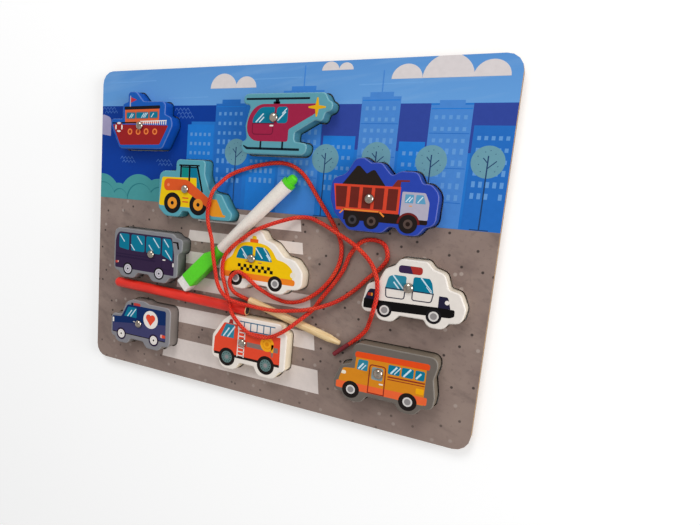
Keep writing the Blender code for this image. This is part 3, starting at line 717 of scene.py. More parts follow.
class PrintedFace:
    """Inked shapes on a level face, in one mesh. Each shape is a thin slab, and a later coat lies higher.

    Every shape first takes its coat, counted from 1, and its ink. Sizes are in millimetres.
    """

    def __init__(self, name: str, level: float, shift: Point = (0.0, 0.0)) -> None:
        """Start an empty face.

        Args:
            name: The name of the piece that it becomes.
            level: The height of the face that it is printed on, in metres.
            shift: How far the whole print is moved.
        """
        self.name = name
        self.level = level
        self.shift = shift
        self.coats: dict[int, bmesh.types.BMesh] = {}
        self.inks: list[Ink] = []

    def area(self, coat: int, ink: Ink, *corners: Point, rounding: float = 0.0, line: float = 0.0) -> None:
        """Print an area with straight sides.

        Args:
            coat: Its coat.
            ink: Its ink.
            *corners: Plan points in order. A third number is that corner's own rounding.
            rounding: How far the other corners are rounded.
            line: Where it isn't 0, only an outline of that width is printed.
        """
        work = bmesh.new()
        verts = [work.verts.new((corner[0] * MM, corner[1] * MM, 0.0)) for corner in corners]
        work.faces.new(verts)
        for vert, corner in zip(verts, corners):
            reach = corner[2] if len(corner) > 2 else rounding
            if reach > 0:
                bmesh.ops.bevel(work, geom=[vert], offset=reach * MM, affect="VERTICES",
                                segments=CORNER_SEGMENTS, profile=0.5, material=-1)
        self._lay(work, coat, ink, line)

    def boxes(self, coat: int, ink: Ink, *sides: Point, rounding: float = 0.0) -> None:
        """Print rectangles.

        Args:
            coat: Their coat.
            ink: Their ink.
            *sides: The left, lower, right and upper side of each.
            rounding: How far their corners are rounded.
        """
        for left, low, right, high in sides:
            self.area(coat, ink, (left, low), (right, low), (right, high), (left, high),
                      rounding=rounding)

    def discs(self, coat: int, ink: Ink, radius: float, *centres: Point, line: float = 0.0,
              segments: int = DISC_SEGMENTS) -> None:
        """Print discs or rings.

        Args:
            coat: Their coat.
            ink: Their ink.
            radius: Their outer radius.
            *centres: Their plan points.
            line: A ring's width, or 0 for a whole disc.
            segments: The number of sides.
        """
        for x, y in centres:
            work = bmesh.new()
            bmesh.ops.create_circle(work, cap_ends=True, segments=segments, radius=radius * MM,
                                    matrix=Matrix.Translation((x * MM, y * MM, 0.0)))
            self._lay(work, coat, ink, line)

    def half_disc(self, coat: int, ink: Ink, radius: float, centre: Point, squash: float = 1.0) -> None:
        """Print the upper half of a disc.

        Args:
            coat: Its coat.
            ink: Its ink.
            radius: Its radius.
            centre: The middle of its flat side.
            squash: Its height as a share of the radius.
        """
        x, y = centre
        turns = [math.pi * step / HALF_DISC_SEGMENTS for step in range(HALF_DISC_SEGMENTS + 1)]
        rim = [(x + radius * math.cos(turn), y + radius * squash * math.sin(turn)) for turn in turns]
        self.area(coat, ink, *rim)

    def bars(self, coat: int, ink: Ink, width: float, *ends: Point, rounding: float = 0.0) -> None:
        """Print straight strokes.

        Args:
            coat: Their coat.
            ink: Their ink.
            width: Their width.
            *ends: The two ends of each stroke's middle line, stroke after stroke.
            rounding: How far their corners are rounded.
        """
        for start, end in zip(ends[::2], ends[1::2]):
            x, y = Vector((end[0] - start[0], end[1] - start[1])).orthogonal().normalized() * width / 2
            self.area(coat, ink, (start[0] - x, start[1] - y), (end[0] - x, end[1] - y),
                      (end[0] + x, end[1] + y), (start[0] + x, start[1] + y), rounding=rounding)

    def glints(self, coat: int, slope: Point, width: float, *starts: Point) -> None:
        """Print pale slanted reflections on glass.

        Args:
            coat: Their coat.
            slope: How far one runs along and across for a length of 1.
            width: Their width.
            *starts: For each, its lower plan point and its length.
        """
        for x, y, length in starts:
            self.bars(coat, Ink.PALE_GLINT, width, (x, y), (x + slope[0] * length, y + slope[1] * length))

    def wheels(self, centres: Sequence[Point], radii: Point, *inks: Ink) -> None:
        """Print wheels, each with its tyre, its rim and the middle of its hub.

        Args:
            centres: Their plan points.
            radii: The radii of tyre, rim and middle.
            *inks: The inks of tyre, rim and middle.
        """
        for coat, radius, ink in zip((3, 4, 5), radii, inks):
            self.discs(coat, ink, radius, *centres)

    def _lay(self, work: bmesh.types.BMesh, coat: int, ink: Ink, line: float) -> None:
        """Turn a flat shape into a slab of its coat and add it to the face.

        Args:
            work: A mesh that holds the one flat shape. It is used up.
            coat: Its coat.
            ink: Its ink.
            line: The width of an outline, or 0.
        """
        if line:
            inner = list(work.faces)
            bmesh.ops.inset_individual(work, faces=inner, thickness=line * MM, use_even_offset=True)
            bmesh.ops.delete(work, geom=inner, context="FACES_ONLY")
        raised = bmesh.ops.extrude_face_region(work, geom=list(work.faces))["geom"]
        lifted = [item for item in raised if isinstance(item, bmesh.types.BMVert)]
        place = (self.shift[0] * MM, self.shift[1] * MM, self.level - INK_SINK)
        bmesh.ops.translate(work, verts=work.verts, vec=place)
        bmesh.ops.translate(work, verts=lifted, vec=(0.0, 0.0, INK_SINK + coat * INK_COAT))
        bmesh.ops.recalc_face_normals(work, faces=work.faces)
        if ink not in self.inks:
            self.inks.append(ink)
        for face in work.faces:
            face.material_index = self.inks.index(ink)
        shape = bpy.data.meshes.new("shape")
        work.to_mesh(shape)
        work.free()
        self.coats.setdefault(coat, bmesh.new()).from_mesh(shape)
        bpy.data.meshes.remove(shape)

    def piece(self, inks: InkShelf, cutter: bpy.types.Object | None = None) -> bpy.types.Object:
        """Make the piece, with every coat trimmed to what it is printed on.

        Args:
            inks: Where the inks' materials come from.
            cutter: A solid that the coats stay within, or None.

        Returns:
            The piece.
        """
        materials = [inks.material(ink) for ink in self.inks]
        whole = bmesh.new()
        for coat in sorted(self.coats):
            mesh = bpy.data.meshes.new(f"{self.name}_coat_{coat}")
            self.coats[coat].to_mesh(mesh)
            self.coats[coat].free()
            for material in materials:
                mesh.materials.append(material)
            if cutter:
                mesh = trimmed(mesh, cutter)
            whole.from_mesh(mesh)
            bpy.data.meshes.remove(mesh)
        return new_piece(self.name, whole, materials)


class InkShelf:
    """Keeps one material for each ink."""

    def __init__(self) -> None:
        """Start with no ink made."""
        self.made: dict[Ink, bpy.types.Material] = {}

    def material(self, ink: Ink) -> bpy.types.Material:
        """Return an ink's material, made at its first use."""
        if ink not in self.made:
            self.made[ink] = PrintedInk(ink).make()
        return self.made[ink]


def new_piece(name: str, work: bmesh.types.BMesh, materials: Sequence[bpy.types.Material],
              smooth: bool = False) -> bpy.types.Object:
    """Make an object at the origin from a bmesh.

    Args:
        name: The object's name.
        work: Its mesh, which is used up.
        materials: Its materials in the order of their slots.
        smooth: Whether its faces are shaded smooth.

    Returns:
        The new object.
    """
    mesh = bpy.data.meshes.new(name)
    work.to_mesh(mesh)
    work.free()
    for material in materials:
        mesh.materials.append(material)
    if smooth:
        mesh.shade_smooth()
        mesh.set_sharp_from_angle(angle=SHARP_ANGLE)
    thing = bpy.data.objects.new(name, mesh)
    bpy.context.scene.collection.objects.link(thing)
    return thing


def trimmed(mesh: bpy.types.Mesh, cutter: bpy.types.Object) -> bpy.types.Mesh:
    """Return what of a mesh lies inside a cutter.

    Args:
        mesh: The mesh to trim. It is removed.
        cutter: The solid that it stays within.

    Returns:
        The trimmed mesh.
    """
    thing = bpy.data.objects.new("to_trim", mesh)
    bpy.context.scene.collection.objects.link(thing)
    keep = thing.modifiers.new("Keep", "BOOLEAN")
    keep.operation = "INTERSECT"
    keep.solver = "EXACT"
    keep.use_self = True
    keep.object = cutter
    bpy.context.view_layer.update()
    result = bpy.data.meshes.new_from_object(thing.evaluated_get(bpy.context.evaluated_depsgraph_get()))
    bpy.data.objects.remove(thing)
    bpy.data.meshes.remove(mesh)
    return result


def around(centre: Point, radius: float, turn: float) -> Point:
    """Return the plan point at a radius from a centre and a turn in degrees."""
    angle = math.radians(turn)
    return centre[0] + radius * math.cos(angle), centre[1] + radius * math.sin(angle)


def turned(profile: Sequence[Point]) -> bmesh.types.BMesh:
    """Spin a profile round the Z axis.

    Args:
        profile: (radius, height) points from the top of the axis to its bottom.

    Returns:
        A closed mesh that stands on the axis.
    """
    work = bmesh.new()
    verts = [work.verts.new((radius, 0.0, height)) for radius, height in profile]
    edges = [work.edges.new(pair) for pair in zip(verts, verts[1:])]
    bmesh.ops.spin(work, geom=[*verts, *edges], cent=(0.0, 0.0, 0.0), axis=(0.0, 0.0, 1.0),
                   angle=math.tau, steps=TURNED_SEGMENTS, use_merge=True)
    bmesh.ops.remove_doubles(work, verts=work.verts, dist=SAME_POINT)
    bmesh.ops.recalc_face_normals(work, faces=work.faces)
    return work


@dataclass
class VehiclePiece:
    """One puzzle piece: its painted block, its printed face and its steel pin."""

    node: str
    border: str
    wall: str
    pin_radius: float = 3.0 * MM
    pin_height: float = 2.2 * MM
    pin_rim: float = 0.35 * MM
    pin_gap: float = 0.1 * MM
    dome_steps: int = 9
    shank_radius: float = 1.1 * MM
    shank_length: float = 6.0 * MM
    shank_point: float = 1.4 * MM

    def draw(self, art: PrintedFace) -> None:
        """Print the vehicle. Each kind of vehicle draws its own."""
        raise NotImplementedError

    def dress(self, nodes: dict, inks: InkShelf, steel: bpy.types.Material) -> list[bpy.types.Object]:
        """Paint the block, print its face and set its pin.

        Args:
            nodes: The CAD nodes by name.
            inks: Where the inks' materials come from.
            steel: The pin's material.

        Returns:
            The new pieces.
        """
        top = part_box(self.node)[1].z
        paint = PaintedBlock(self.node + "_paint", self.border, self.wall, top).make()
        block = self.make_block(nodes[self.node], paint)
        art = PrintedFace(self.node + "_print", top, PRINT_SHIFT)
        self.draw(art)
        face = art.piece(inks)
        pin = self.make_pin(steel)
        for piece in (block, face, pin):
            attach(piece, self.node + "_piece")
        for piece in (block, face):
            self.node + "_paint"
        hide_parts(self.node)
        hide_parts(self.node + "_pin")
        return [block, face, pin]

    def make_block(self, node: bpy.types.Object, paint: bpy.types.Material) -> bpy.types.Object:
        """Copy the CAD block, with its facets merged and its rounded edge shaded round.

        Args:
            node: The block's CAD node.
            paint: Its material.

        Returns:
            The block.
        """
        block = new_piece(self.node + "_block", merged_copy(node), [paint], smooth=True)
        weighted = block.modifiers.new("Flat faces", "WEIGHTED_NORMAL")
        weighted.keep_sharp = True
        weighted.weight = 100
        return block

    def make_pin(self, steel: bpy.types.Material) -> bpy.types.Object:
        """Spin the pin with its domed head, rolled rim and pointed shank.

        Args:
            steel: The pin's material.

        Returns:
            The pin.
        """
        radius, rim, base = self.pin_radius, self.pin_rim, self.pin_gap
        turns = [math.radians(90 * step / self.dome_steps) for step in range(self.dome_steps + 1)]
        crown = [(math.sin(turn) * (radius - 0.1 * rim), rim + math.cos(turn) * (self.pin_height - rim))
                 for turn in turns]
        skirt = [(radius, rim * 0.7), (radius, rim * 0.3), (radius - 0.25 * rim, base)]
        shank = [(self.shank_radius, base), (self.shank_radius, self.shank_point - self.shank_length),
                 (0.0, -self.shank_length)]
        work = turned([*crown, *skirt, *shank])
        low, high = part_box(self.node + "_pin")
        middle = (low + high) / 2
        bmesh.ops.translate(work, verts=work.verts, vec=(middle.x, middle.y, high.z - self.pin_height))
        return new_piece(self.node + "_steel_pin", work, [steel], smooth=True)


def merged_copy(node: bpy.types.Object) -> bmesh.types.BMesh:
    """Copy a CAD node's mesh and join its loose triangles into whole faces.

    Args:
        node: The CAD node.

    Returns:
        The merged mesh.
    """
    work = bmesh.new()
    work.from_mesh(node.data)
    bmesh.ops.remove_doubles(work, verts=work.verts, dist=SAME_POINT)
    bmesh.ops.dissolve_limit(work, angle_limit=FLAT_ANGLE, verts=work.verts, edges=work.edges)
    bmesh.ops.recalc_face_normals(work, faces=work.faces)
    return work


def dress_node(node: bpy.types.Object, material: bpy.types.Material) -> None:
    """Give a CAD node one material in every slot.

    Args:
        node: The node.
        material: Its material.
    """
    if not node.material_slots:
        node.data.materials.append(material)
    for place in node.material_slots:
        place.material = material


@dataclass
class Boat(VehiclePiece):
    """The ferry on its royal-blue block."""

    node: str = "boat"
    border: str = "1058b3"
    # Painted shade: the walls' paint is the border's paint made a little darker.
    wall: str = "0f50ac"
    windows: tuple = ((-116.2, -108.2, 76.0), (-107.2, -96.0, 76.2), (-94.9, -87.7, 76.5))
    portholes: tuple = ((-112.7, 66.7), (-105.0, 66.7), (-97.6, 67.0), (-89.7, 67.0))
    life_ring: Point = (-123.5, 69.8)
    rail_posts: int = 13
    rail_pitch: float = 1.85

    def draw(self, art: PrintedFace) -> None:
        """Print the hull, cabin, railing, life ring and pennant."""
        art.area(1, Ink.HULL_RED, (-121.8, 57.0), (-85.3, 58.0), (-78.0, 71.3), (-129.6, 71.8),
                 rounding=0.9)
        art.area(1, Ink.CABIN_ORANGE, (-117.6, 72.4), (-86.3, 72.9), (-86.3, 83.0), (-118.0, 82.4),
                 rounding=0.4)
        art.bars(2, Ink.BLACK, 0.9, (-130.0, 72.7), (-107.0, 73.2))
        art.bars(2, Ink.ROOF_BLACK, 2.3, (-118.6, 83.3), (-85.6, 84.0), rounding=0.9)
        for left, right, low in self.windows:
            art.boxes(2, Ink.FRAME_BROWN, (left - 0.5, low - 0.5, right + 0.5, low + 4.7), rounding=1.2)
            art.boxes(3, Ink.GLASS_TEAL, (left, low, right, low + 4.2), rounding=0.9)
        art.glints(4, (0.62, 0.79), 0.6, (-113.6, 76.4, 4.0), (-111.9, 76.6, 3.2), (-102.4, 76.6, 4.0),
                   (-100.8, 76.7, 4.2), (-99.4, 76.8, 4.2), (-93.4, 77.0, 3.6))
        art.discs(2, Ink.PORT_ORANGE, 2.2, *self.portholes)
        art.discs(3, Ink.PORT_RED, 1.25, *self.portholes)
        posts = [-102.6 + post * self.rail_pitch for post in range(self.rail_posts)]
        art.boxes(4, Ink.WHITE, *((x, 71.9, x + 0.7, 74.2) for x in posts))
        art.bars(5, Ink.WHITE, 0.7, (-103.6, 74.0), (-79.4, 74.7))
        art.discs(4, Ink.WHITE, 3.6, self.life_ring, line=1.25)
        for turn in (45, 135, 225, 315):
            art.bars(5, Ink.HULL_RED, 1.5, around(self.life_ring, 2.2, turn),
                     around(self.life_ring, 3.7, turn))
        art.bars(3, Ink.CAB_LILAC, 0.9, (-113.1, 84.4), (-113.1, 92.0))
        art.area(2, Ink.PENNANT, (-112.7, 87.1), (-107.2, 89.2), (-112.7, 91.0), rounding=0.2)


@dataclass
class Helicopter(VehiclePiece):
    """The helicopter on its teal block."""

    node: str = "helicopter"
    border: str = "5b9cab"
    # Painted shade: the walls' paint is the border's paint made a little darker.
    wall: str = "4b8796"
    glint_place: Point = (34.5, 83.2)

    def draw(self, art: PrintedFace) -> None:
        """Print the rotor, body, windows, door and skids, and the painted highlight on the tail: a yellow
        four-pointed glint.
        """
        art.bars(1, Ink.INDIGO_BLACK, 1.3, (-15.4, 88.5), (29.4, 88.5), rounding=0.5)
        art.boxes(1, Ink.INDIGO_BLACK, (5.9, 85.0, 8.4, 87.9))
        art.boxes(1, Ink.INDIGO_BLACK, (4.5, 85.2, 9.2, 86.8), rounding=0.5)
        art.area(2, Ink.CRIMSON, (-13.7, 62.2, 8.5), (16.3, 62.2, 1.5), (16.3, 69.8, 1.0),
                 (35.0, 80.2, 1.0), (35.0, 85.3, 0.6), (-6.6, 85.3, 4.4), (-13.7, 77.5, 5.4))
        art.area(3, Ink.GLASS_TEAL, (-9.8, 73.5, 0.5), (5.8, 73.5, 0.5), (5.8, 83.5, 1.0),
                 (-4.4, 83.5, 2.5), (-9.6, 77.2, 2.0))
        art.area(3, Ink.GLASS_TEAL, (7.2, 73.5), (15.2, 73.5), (15.2, 83.6), (7.2, 83.6), rounding=2.0)
        art.area(3, Ink.DARK_CRIMSON, (-9.9, 66.2, 2.2), (5.6, 66.2, 2.2), (5.6, 73.6), (-9.9, 73.6),
                 line=0.65)
        art.bars(4, Ink.WHITE, 1.0, (2.8, 72.0), (5.5, 72.0), rounding=0.4)
        art.glints(4, (0.7, 0.71), 0.8, (-7.4, 74.0, 7.6), (-4.8, 74.0, 4.6), (8.2, 75.0, 7.8))
        art.glints(4, (0.7, 0.71), 0.6, (11.2, 79.4, 4.4))
        art.boxes(1, Ink.INDIGO_BLACK, *((x - 0.65, 57.4, x + 0.65, 62.6) for x in (-2.9, 12.8)))
        art.area(1, Ink.INDIGO_BLACK, (-13.2, 56.8), (24.7, 56.8), (24.7, 58.3), (-12.4, 58.3),
                 (-15.6, 59.6), (-15.9, 58.9), rounding=0.3)
        # Painted highlight: a yellow four-pointed glint on the tail.
        art.area(4, Ink.TAIL_GLINT_YELLOW, *self.star(5.7, 0.45, 1.15))

    def star(self, reach: float, blunt: float, waist: float) -> list[Point]:
        """Return the corners of a star with four slim points.

        Args:
            reach: How far its points reach.
            blunt: Half the width of its points' ends.
            waist: How far the corners between them lie from the centre, along each axis.

        Returns:
            Its corners in order.
        """
        corners = []
        for quarter in range(4):
            for along, across in ((reach, -blunt), (reach, blunt), (waist, waist)):
                turn = 90 * quarter + math.degrees(math.atan2(across, along))
                corners.append(around(self.glint_place, math.hypot(along, across), turn))
        return corners


@dataclass
class WheelLoader(VehiclePiece):
    """The wheel loader on its teal block."""

    node: str = "wheel_loader"
    border: str = "569fae"
    # Painted shade: the walls' paint is the border's paint made a little darker.
    wall: str = "4a92a2"
    wheels: tuple = ((-71.3, 17.7), (-49.0, 17.9))

    def draw(self, art: PrintedFace) -> None:
        """Print the body, cab, arm, bucket and wheels."""
        art.area(1, Ink.LOADER_YELLOW, (-83.2, 15.4, 1.5), (-52.0, 15.4), (-47.5, 24.0), (-51.0, 29.5),
                 (-51.3, 36.1), (-81.2, 35.7, 1.5))
        art.area(1, Ink.GLASS_GREEN, (-64.0, 36.2), (-58.5, 36.2), (-58.5, 43.2), (-64.0, 43.2))
        art.area(1, Ink.GLASS_TEAL, (-56.8, 36.3), (-51.4, 36.3), (-51.0, 29.8), (-47.6, 27.4),
                 (-51.8, 43.2), (-56.8, 43.2))
        art.bars(2, Ink.BLACK, 1.0, (-66.6, 44.4), (-49.3, 44.6))
        art.bars(2, Ink.BLACK, 1.4, (-64.9, 44.2), (-64.9, 36.1))
        art.bars(2, Ink.BLACK, 1.5, (-57.6, 44.2), (-57.5, 33.2), (-51.2, 44.4), (-46.1, 26.6))
        art.bars(2, Ink.BLACK, 0.8, (-65.0, 43.3), (-51.0, 43.3))
        art.area(3, Ink.ARM_ORANGE, (-79.2, 26.0, 3.6), (-61.0, 27.2, 3.0), (-42.4, 17.2),
                 (-38.2, 16.4, 1.6), (-37.4, 20.6, 1.6), (-41.0, 23.3), (-58.8, 34.6, 2.5),
                 (-79.2, 34.8, 3.6))
        art.discs(4, Ink.ARM_SPOT, 1.1, (-75.4, 30.3))
        art.area(2, Ink.BUCKET, (-42.4, 16.6), (-38.0, 10.8, 1.5), (-26.4, 10.9, 0.4), (-26.1, 12.2, 0.3),
                 (-28.2, 12.6), (-33.8, 22.5, 0.4), (-41.4, 22.6))
        art.discs(4, Ink.TIPPER_RED, 1.5, (-39.3, 18.8), line=0.5)
        art.bars(4, Ink.TIPPER_RED, 0.75, (-62.6, 21.8), (-57.5, 21.8), (-62.6, 19.1), (-57.5, 19.1))
        art.discs(2, Ink.TYRE, 7.4, *self.wheels)
        art.discs(4, Ink.HUB_ORANGE, 4.1, *self.wheels)
        art.discs(5, Ink.TYRE, 1.35, *self.wheels)


@dataclass
class DumpTruck(VehiclePiece):
    """The dump truck on its blue-violet block."""

    node: str = "dump_truck"
    border: str = "2642aa"
    # Painted shade: the walls' paint is the border's paint made a little darker.
    wall: str = "24408e"
    rear_wheels: tuple = ((63.7, 17.5), (75.5, 17.5))
    front_wheel: Point = (97.2, 17.7)
    # Each panel of the tipper: lower left, upper left and right side
    panels: tuple = ((52.8, 51.3, 58.7), (60.9, 60.9, 66.4), (68.5, 68.5, 74.0), (76.0, 76.0, 81.5),
                     (83.7, 83.7, 89.6))

    def draw(self, art: PrintedFace) -> None:
        """Print the heap, tipper, cab, chassis and wheels."""
        art.area(1, Ink.HEAP, (55.0, 38.0), (82.2, 38.0), (74.8, 47.3, 0.6), (73.2, 47.3, 0.6),
                 (70.0, 45.1, 0.5), (65.3, 49.5, 0.6), (63.7, 49.5, 0.6))
        art.area(2, Ink.TIPPER_RED, (52.7, 22.8), (91.1, 22.8), (91.0, 38.5), (50.0, 38.4), rounding=0.3)
        for low_left, left, right in self.panels:
            art.area(3, Ink.PANEL_MAROON, (low_left, 24.7), (right, 24.7), (right, 37.1), (left, 37.1),
                     rounding=0.2)
        art.bars(4, Ink.BAR_ORANGE, 0.9, (57.5, 23.4), (79.9, 23.4), (55.3, 20.9), (57.9, 23.6),
                 (79.5, 23.6), (82.8, 20.7))
        art.boxes(1, Ink.CHASSIS, (57.8, 17.2, 92.0, 22.9), rounding=0.4)
        art.boxes(1, Ink.CHASSIS, (101.5, 17.9, 108.0, 20.9), rounding=1.0)
        art.area(1, Ink.EXHAUST, (85.7, 38.4), (90.7, 38.4), (90.7, 41.4), (95.6, 41.6), (95.6, 42.6),
                 (88.6, 42.4), rounding=0.2)
        art.area(2, Ink.CAB_LILAC, (92.0, 20.6), (108.0, 20.6), (108.0, 30.4), (105.3, 35.9),
                 (92.1, 36.0), rounding=0.7)
        art.boxes(3, Ink.GLASS_BLUE, (94.0, 29.7, 98.9, 34.6), rounding=0.4)
        art.area(3, Ink.GLASS_BLUE, (100.2, 29.7), (106.0, 29.7), (104.3, 34.6), (100.2, 34.6),
                 rounding=0.4)
        art.glints(4, (0.6, 0.8), 0.6, (94.6, 30.2, 4.0), (96.4, 30.4, 3.2), (101.4, 30.2, 4.4))
        art.bars(4, Ink.AMBER, 0.5, (96.7, 28.1), (98.4, 28.1))
        art.half_disc(3, Ink.FENDER_MAROON, 6.6, self.front_wheel)
        rear, middle = self.rear_wheels
        art.discs(4, Ink.TYRE_BROWN, 4.7, rear, middle)
        art.discs(4, Ink.TYRE_BROWN, 5.4, self.front_wheel)
        art.discs(5, Ink.HUB_DARK, 2.7, rear)
        art.discs(6, Ink.TYRE, 1.3, rear)
        art.discs(5, Ink.HUB_BROWN, 2.7, middle, self.front_wheel)
        art.discs(6, Ink.CHASSIS, 1.3, middle, self.front_wheel)


@dataclass
class Coach(VehiclePiece):
    """The coach on its grey block."""

    node: str = "coach"
    border: str = "848489"
    wall: str = "7b7a7a"
    wheels: tuple = ((-110.7, -35.1), (-80.8, -35.1))

    def draw(self, art: PrintedFace) -> None:
        """Print the body, windows, mirror, lamps and wheels."""
        art.area(1, Ink.COACH_PURPLE, (-123.4, -35.2, 1.0), (-67.4, -35.2, 0.8), (-67.6, -20.0, 1.0),
                 (-70.2, -7.4, 1.2), (-120.4, -7.4, 2.2), (-123.4, -12.5, 3.0))
        art.area(2, Ink.GLASS_TEAL, (-119.8, -19.6, 1.0), (-110.1, -20.8, 1.0), (-110.1, -8.6, 1.0),
                 (-119.8, -8.6, 1.4))
        art.boxes(2, Ink.GLASS_TEAL, (-108.1, -20.9, -95.1, -8.6), (-93.7, -20.9, -80.1, -8.6),
                  rounding=1.3)
        art.area(2, Ink.GLASS_TEAL, (-78.6, -21.1, 0.8), (-69.0, -24.8, 0.6), (-69.0, -14.0, 2.0),
                 (-71.0, -8.6, 0.9), (-78.6, -8.6, 0.9))
        art.glints(3, (-0.66, 0.75), 0.8, (-114.6, -14.8, 7.0), (-104.6, -20.4, 5.6), (-97.4, -15.2, 7.6),
                   (-87.0, -19.6, 6.2), (-81.4, -16.0, 8.8), (-72.6, -14.6, 7.0), (-70.0, -23.6, 8.6))
        art.bars(2, Ink.COACH_DARK, 0.9, (-122.6, -24.3), (-84.6, -24.3))
        art.bars(2, Ink.COACH_DARK, 1.4, (-122.6, -26.4), (-84.6, -26.4))
        art.area(2, Ink.COACH_DARK, (-78.8, -31.6, 1.0), (-70.2, -31.6, 1.0), (-70.2, -25.2),
                 (-78.8, -22.4), line=0.45)
        art.bars(3, Ink.WHITE, 0.9, (-77.9, -24.5), (-75.3, -24.4), rounding=0.3)
        art.boxes(2, Ink.RIM_PALE, (-68.8, -28.7, -67.5, -25.8), rounding=0.5)
        art.bars(2, Ink.TAIL_RED, 1.8, (-123.2, -30.9), (-120.9, -30.9), rounding=0.3)
        art.bars(3, Ink.TAIL_PINK, 1.5, (-121.0, -30.6), (-120.0, -30.6), rounding=0.4)
        art.area(1, Ink.BLACK, (-69.2, -10.9), (-65.9, -11.2), (-64.6, -15.4), (-63.2, -15.2),
                 (-64.3, -10.1), (-69.2, -10.1))
        art.wheels(self.wheels, (4.6, 3.5, 0.75), Ink.BLACK, Ink.HUB_PALE, Ink.BLACK)
        art.discs(5, Ink.BAR_GREY, 2.3, *self.wheels, line=0.3)


@dataclass
class Taxi(VehiclePiece):
    """The taxi on its white block."""

    node: str = "taxi"
    border: str = "efe7de"
    wall: str = "f0e4cc"
    wheels: tuple = ((-15.0, -29.0), (15.2, -29.1))
    check: float = 2.24
    check_columns: int = 12

    def draw(self, art: PrintedFace) -> None:
        """Print the body, windows, chequer, lamp and wheels."""
        art.area(1, Ink.TAXI_YELLOW, (-24.8, -25.2), (27.4, -25.2), (27.4, -19.0, 2.0),
                 (22.0, -13.9, 4.0), (15.4, -13.2, 1.5), (10.4, -5.6, 4.0), (3.2, -3.5, 3.0),
                 (-8.8, -3.5, 3.0), (-15.2, -6.0, 3.5), (-19.0, -14.6, 2.0), (-24.6, -18.0, 3.0))
        art.area(2, Ink.TAXI_ORANGE, (-24.8, -28.8, 0.6), (29.4, -28.8, 1.6), (29.4, -24.8, 1.6),
                 (-24.8, -24.8))
        art.area(2, Ink.GLASS_TEAL, (-15.6, -15.2, 0.8), (-2.7, -15.2, 0.8), (-3.0, -6.2, 1.2),
                 (-10.6, -6.2, 2.2), (-13.8, -9.2, 2.0))
        art.area(2, Ink.GLASS_TEAL, (-1.2, -15.2, 0.8), (12.0, -15.2, 0.9), (9.4, -9.0, 2.2),
                 (5.8, -6.1, 2.2), (-0.8, -6.1, 1.2))
        art.glints(3, (-0.64, 0.77), 0.8, (-6.8, -14.2, 7.6), (-7.6, -15.0, 4.0), (4.6, -13.6, 8.4),
                   (10.8, -13.4, 9.0), (10.6, -14.6, 5.0))
        art.boxes(1, Ink.LAMP_YELLOW, (-4.0, -2.4, -0.6, 1.0), rounding=1.5)
        art.boxes(2, Ink.LAMP_ORANGE, (-5.5, -3.6, 0.7, -1.2), rounding=0.4)
        art.bars(3, Ink.FRAME_BROWN, 0.6, (-7.8, -16.8), (-4.9, -16.8), (1.5, -16.8), (4.4, -16.8))
        for column in range(self.check_columns):
            left = -13.8 + column * self.check
            low = -20.9 - self.check * (column % 2)
            art.boxes(3, Ink.BLACK, (left, low, left + self.check, low + self.check))
        art.discs(2, Ink.CREAM, 1.9, (27.6, -21.8))
        art.wheels(self.wheels, (5.2, 2.9, 1.9), Ink.TYRE_BROWN, Ink.RIM_PALE, Ink.HUB_GREY)


@dataclass
class PoliceCar(VehiclePiece):
    """The police car on its white block."""

    node: str = "police_car"
    border: str = "e8e0d8"
    wall: str = "e6dccb"
    wheels: tuple = ((89.2, -34.3), (117.9, -33.4))

    def draw(self, art: PrintedFace) -> None:
        """Print the lower body, patches, windows, doors, light bar and wheels."""
        art.area(1, Ink.BLACK, (76.1, -34.6, 0.8), (92.0, -34.4), (126.6, -33.0, 0.6),
                 (129.2, -31.8, 0.8), (129.0, -28.0, 0.9), (120.2, -27.8), (85.2, -28.9),
                 (76.1, -28.6, 0.6))
        art.area(2, Ink.NAVY, (76.5, -28.8), (85.2, -28.9), (85.1, -22.4, 0.3), (79.2, -22.6, 0.8),
                 (77.8, -25.0))
        art.area(2, Ink.NAVY, (119.7, -27.9), (126.6, -27.9, 0.4), (125.3, -23.4), (124.4, -21.2, 0.8),
                 (119.6, -21.2, 0.3))
        art.discs(3, Ink.WHITE, 1.25, (124.4, -24.4))
        art.boxes(3, Ink.LIGHT_RED, (78.1, -26.9, 80.2, -25.0), rounding=0.3)
        art.boxes(3, Ink.AMBER, (80.2, -26.9, 81.2, -25.0), rounding=0.2)
        art.boxes(1, Ink.LIGHT_PLUM, (95.1, -10.7, 108.9, -6.2), rounding=1.7)
        art.area(2, Ink.LIGHT_RED, (103.7, -10.7), (108.9, -10.7, 1.7), (108.9, -6.2, 1.7), (101.6, -6.2))
        art.area(2, Ink.GLASS_MUTED, (88.2, -21.2), (100.3, -21.2), (100.2, -12.4, 1.2),
                 (91.6, -12.4, 1.8), (89.6, -14.2, 1.5))
        art.area(2, Ink.GLASS_TEAL, (104.0, -20.9), (116.4, -20.9), (114.8, -13.6, 2.0),
                 (113.2, -12.1, 1.6), (104.3, -12.1, 1.2))
        art.glints(3, (-0.68, 0.73), 0.8, (99.0, -20.0, 10.2), (97.0, -21.0, 6.0), (115.0, -19.2, 9.6),
                   (115.6, -20.6, 5.0))
        art.area(3, Ink.NAVY, (88.9, -26.6, 1.6), (100.2, -26.4, 1.6), (100.4, -20.4), (88.3, -20.4),
                 line=0.6)
        art.area(3, Ink.NAVY, (104.3, -26.2, 1.6), (115.8, -26.0, 1.6), (116.6, -20.2), (104.1, -20.2),
                 line=0.6)
        art.wheels(self.wheels, (4.4, 2.9, 1.95), Ink.TYRE, Ink.RIM_PALE, Ink.HUB_GREY)


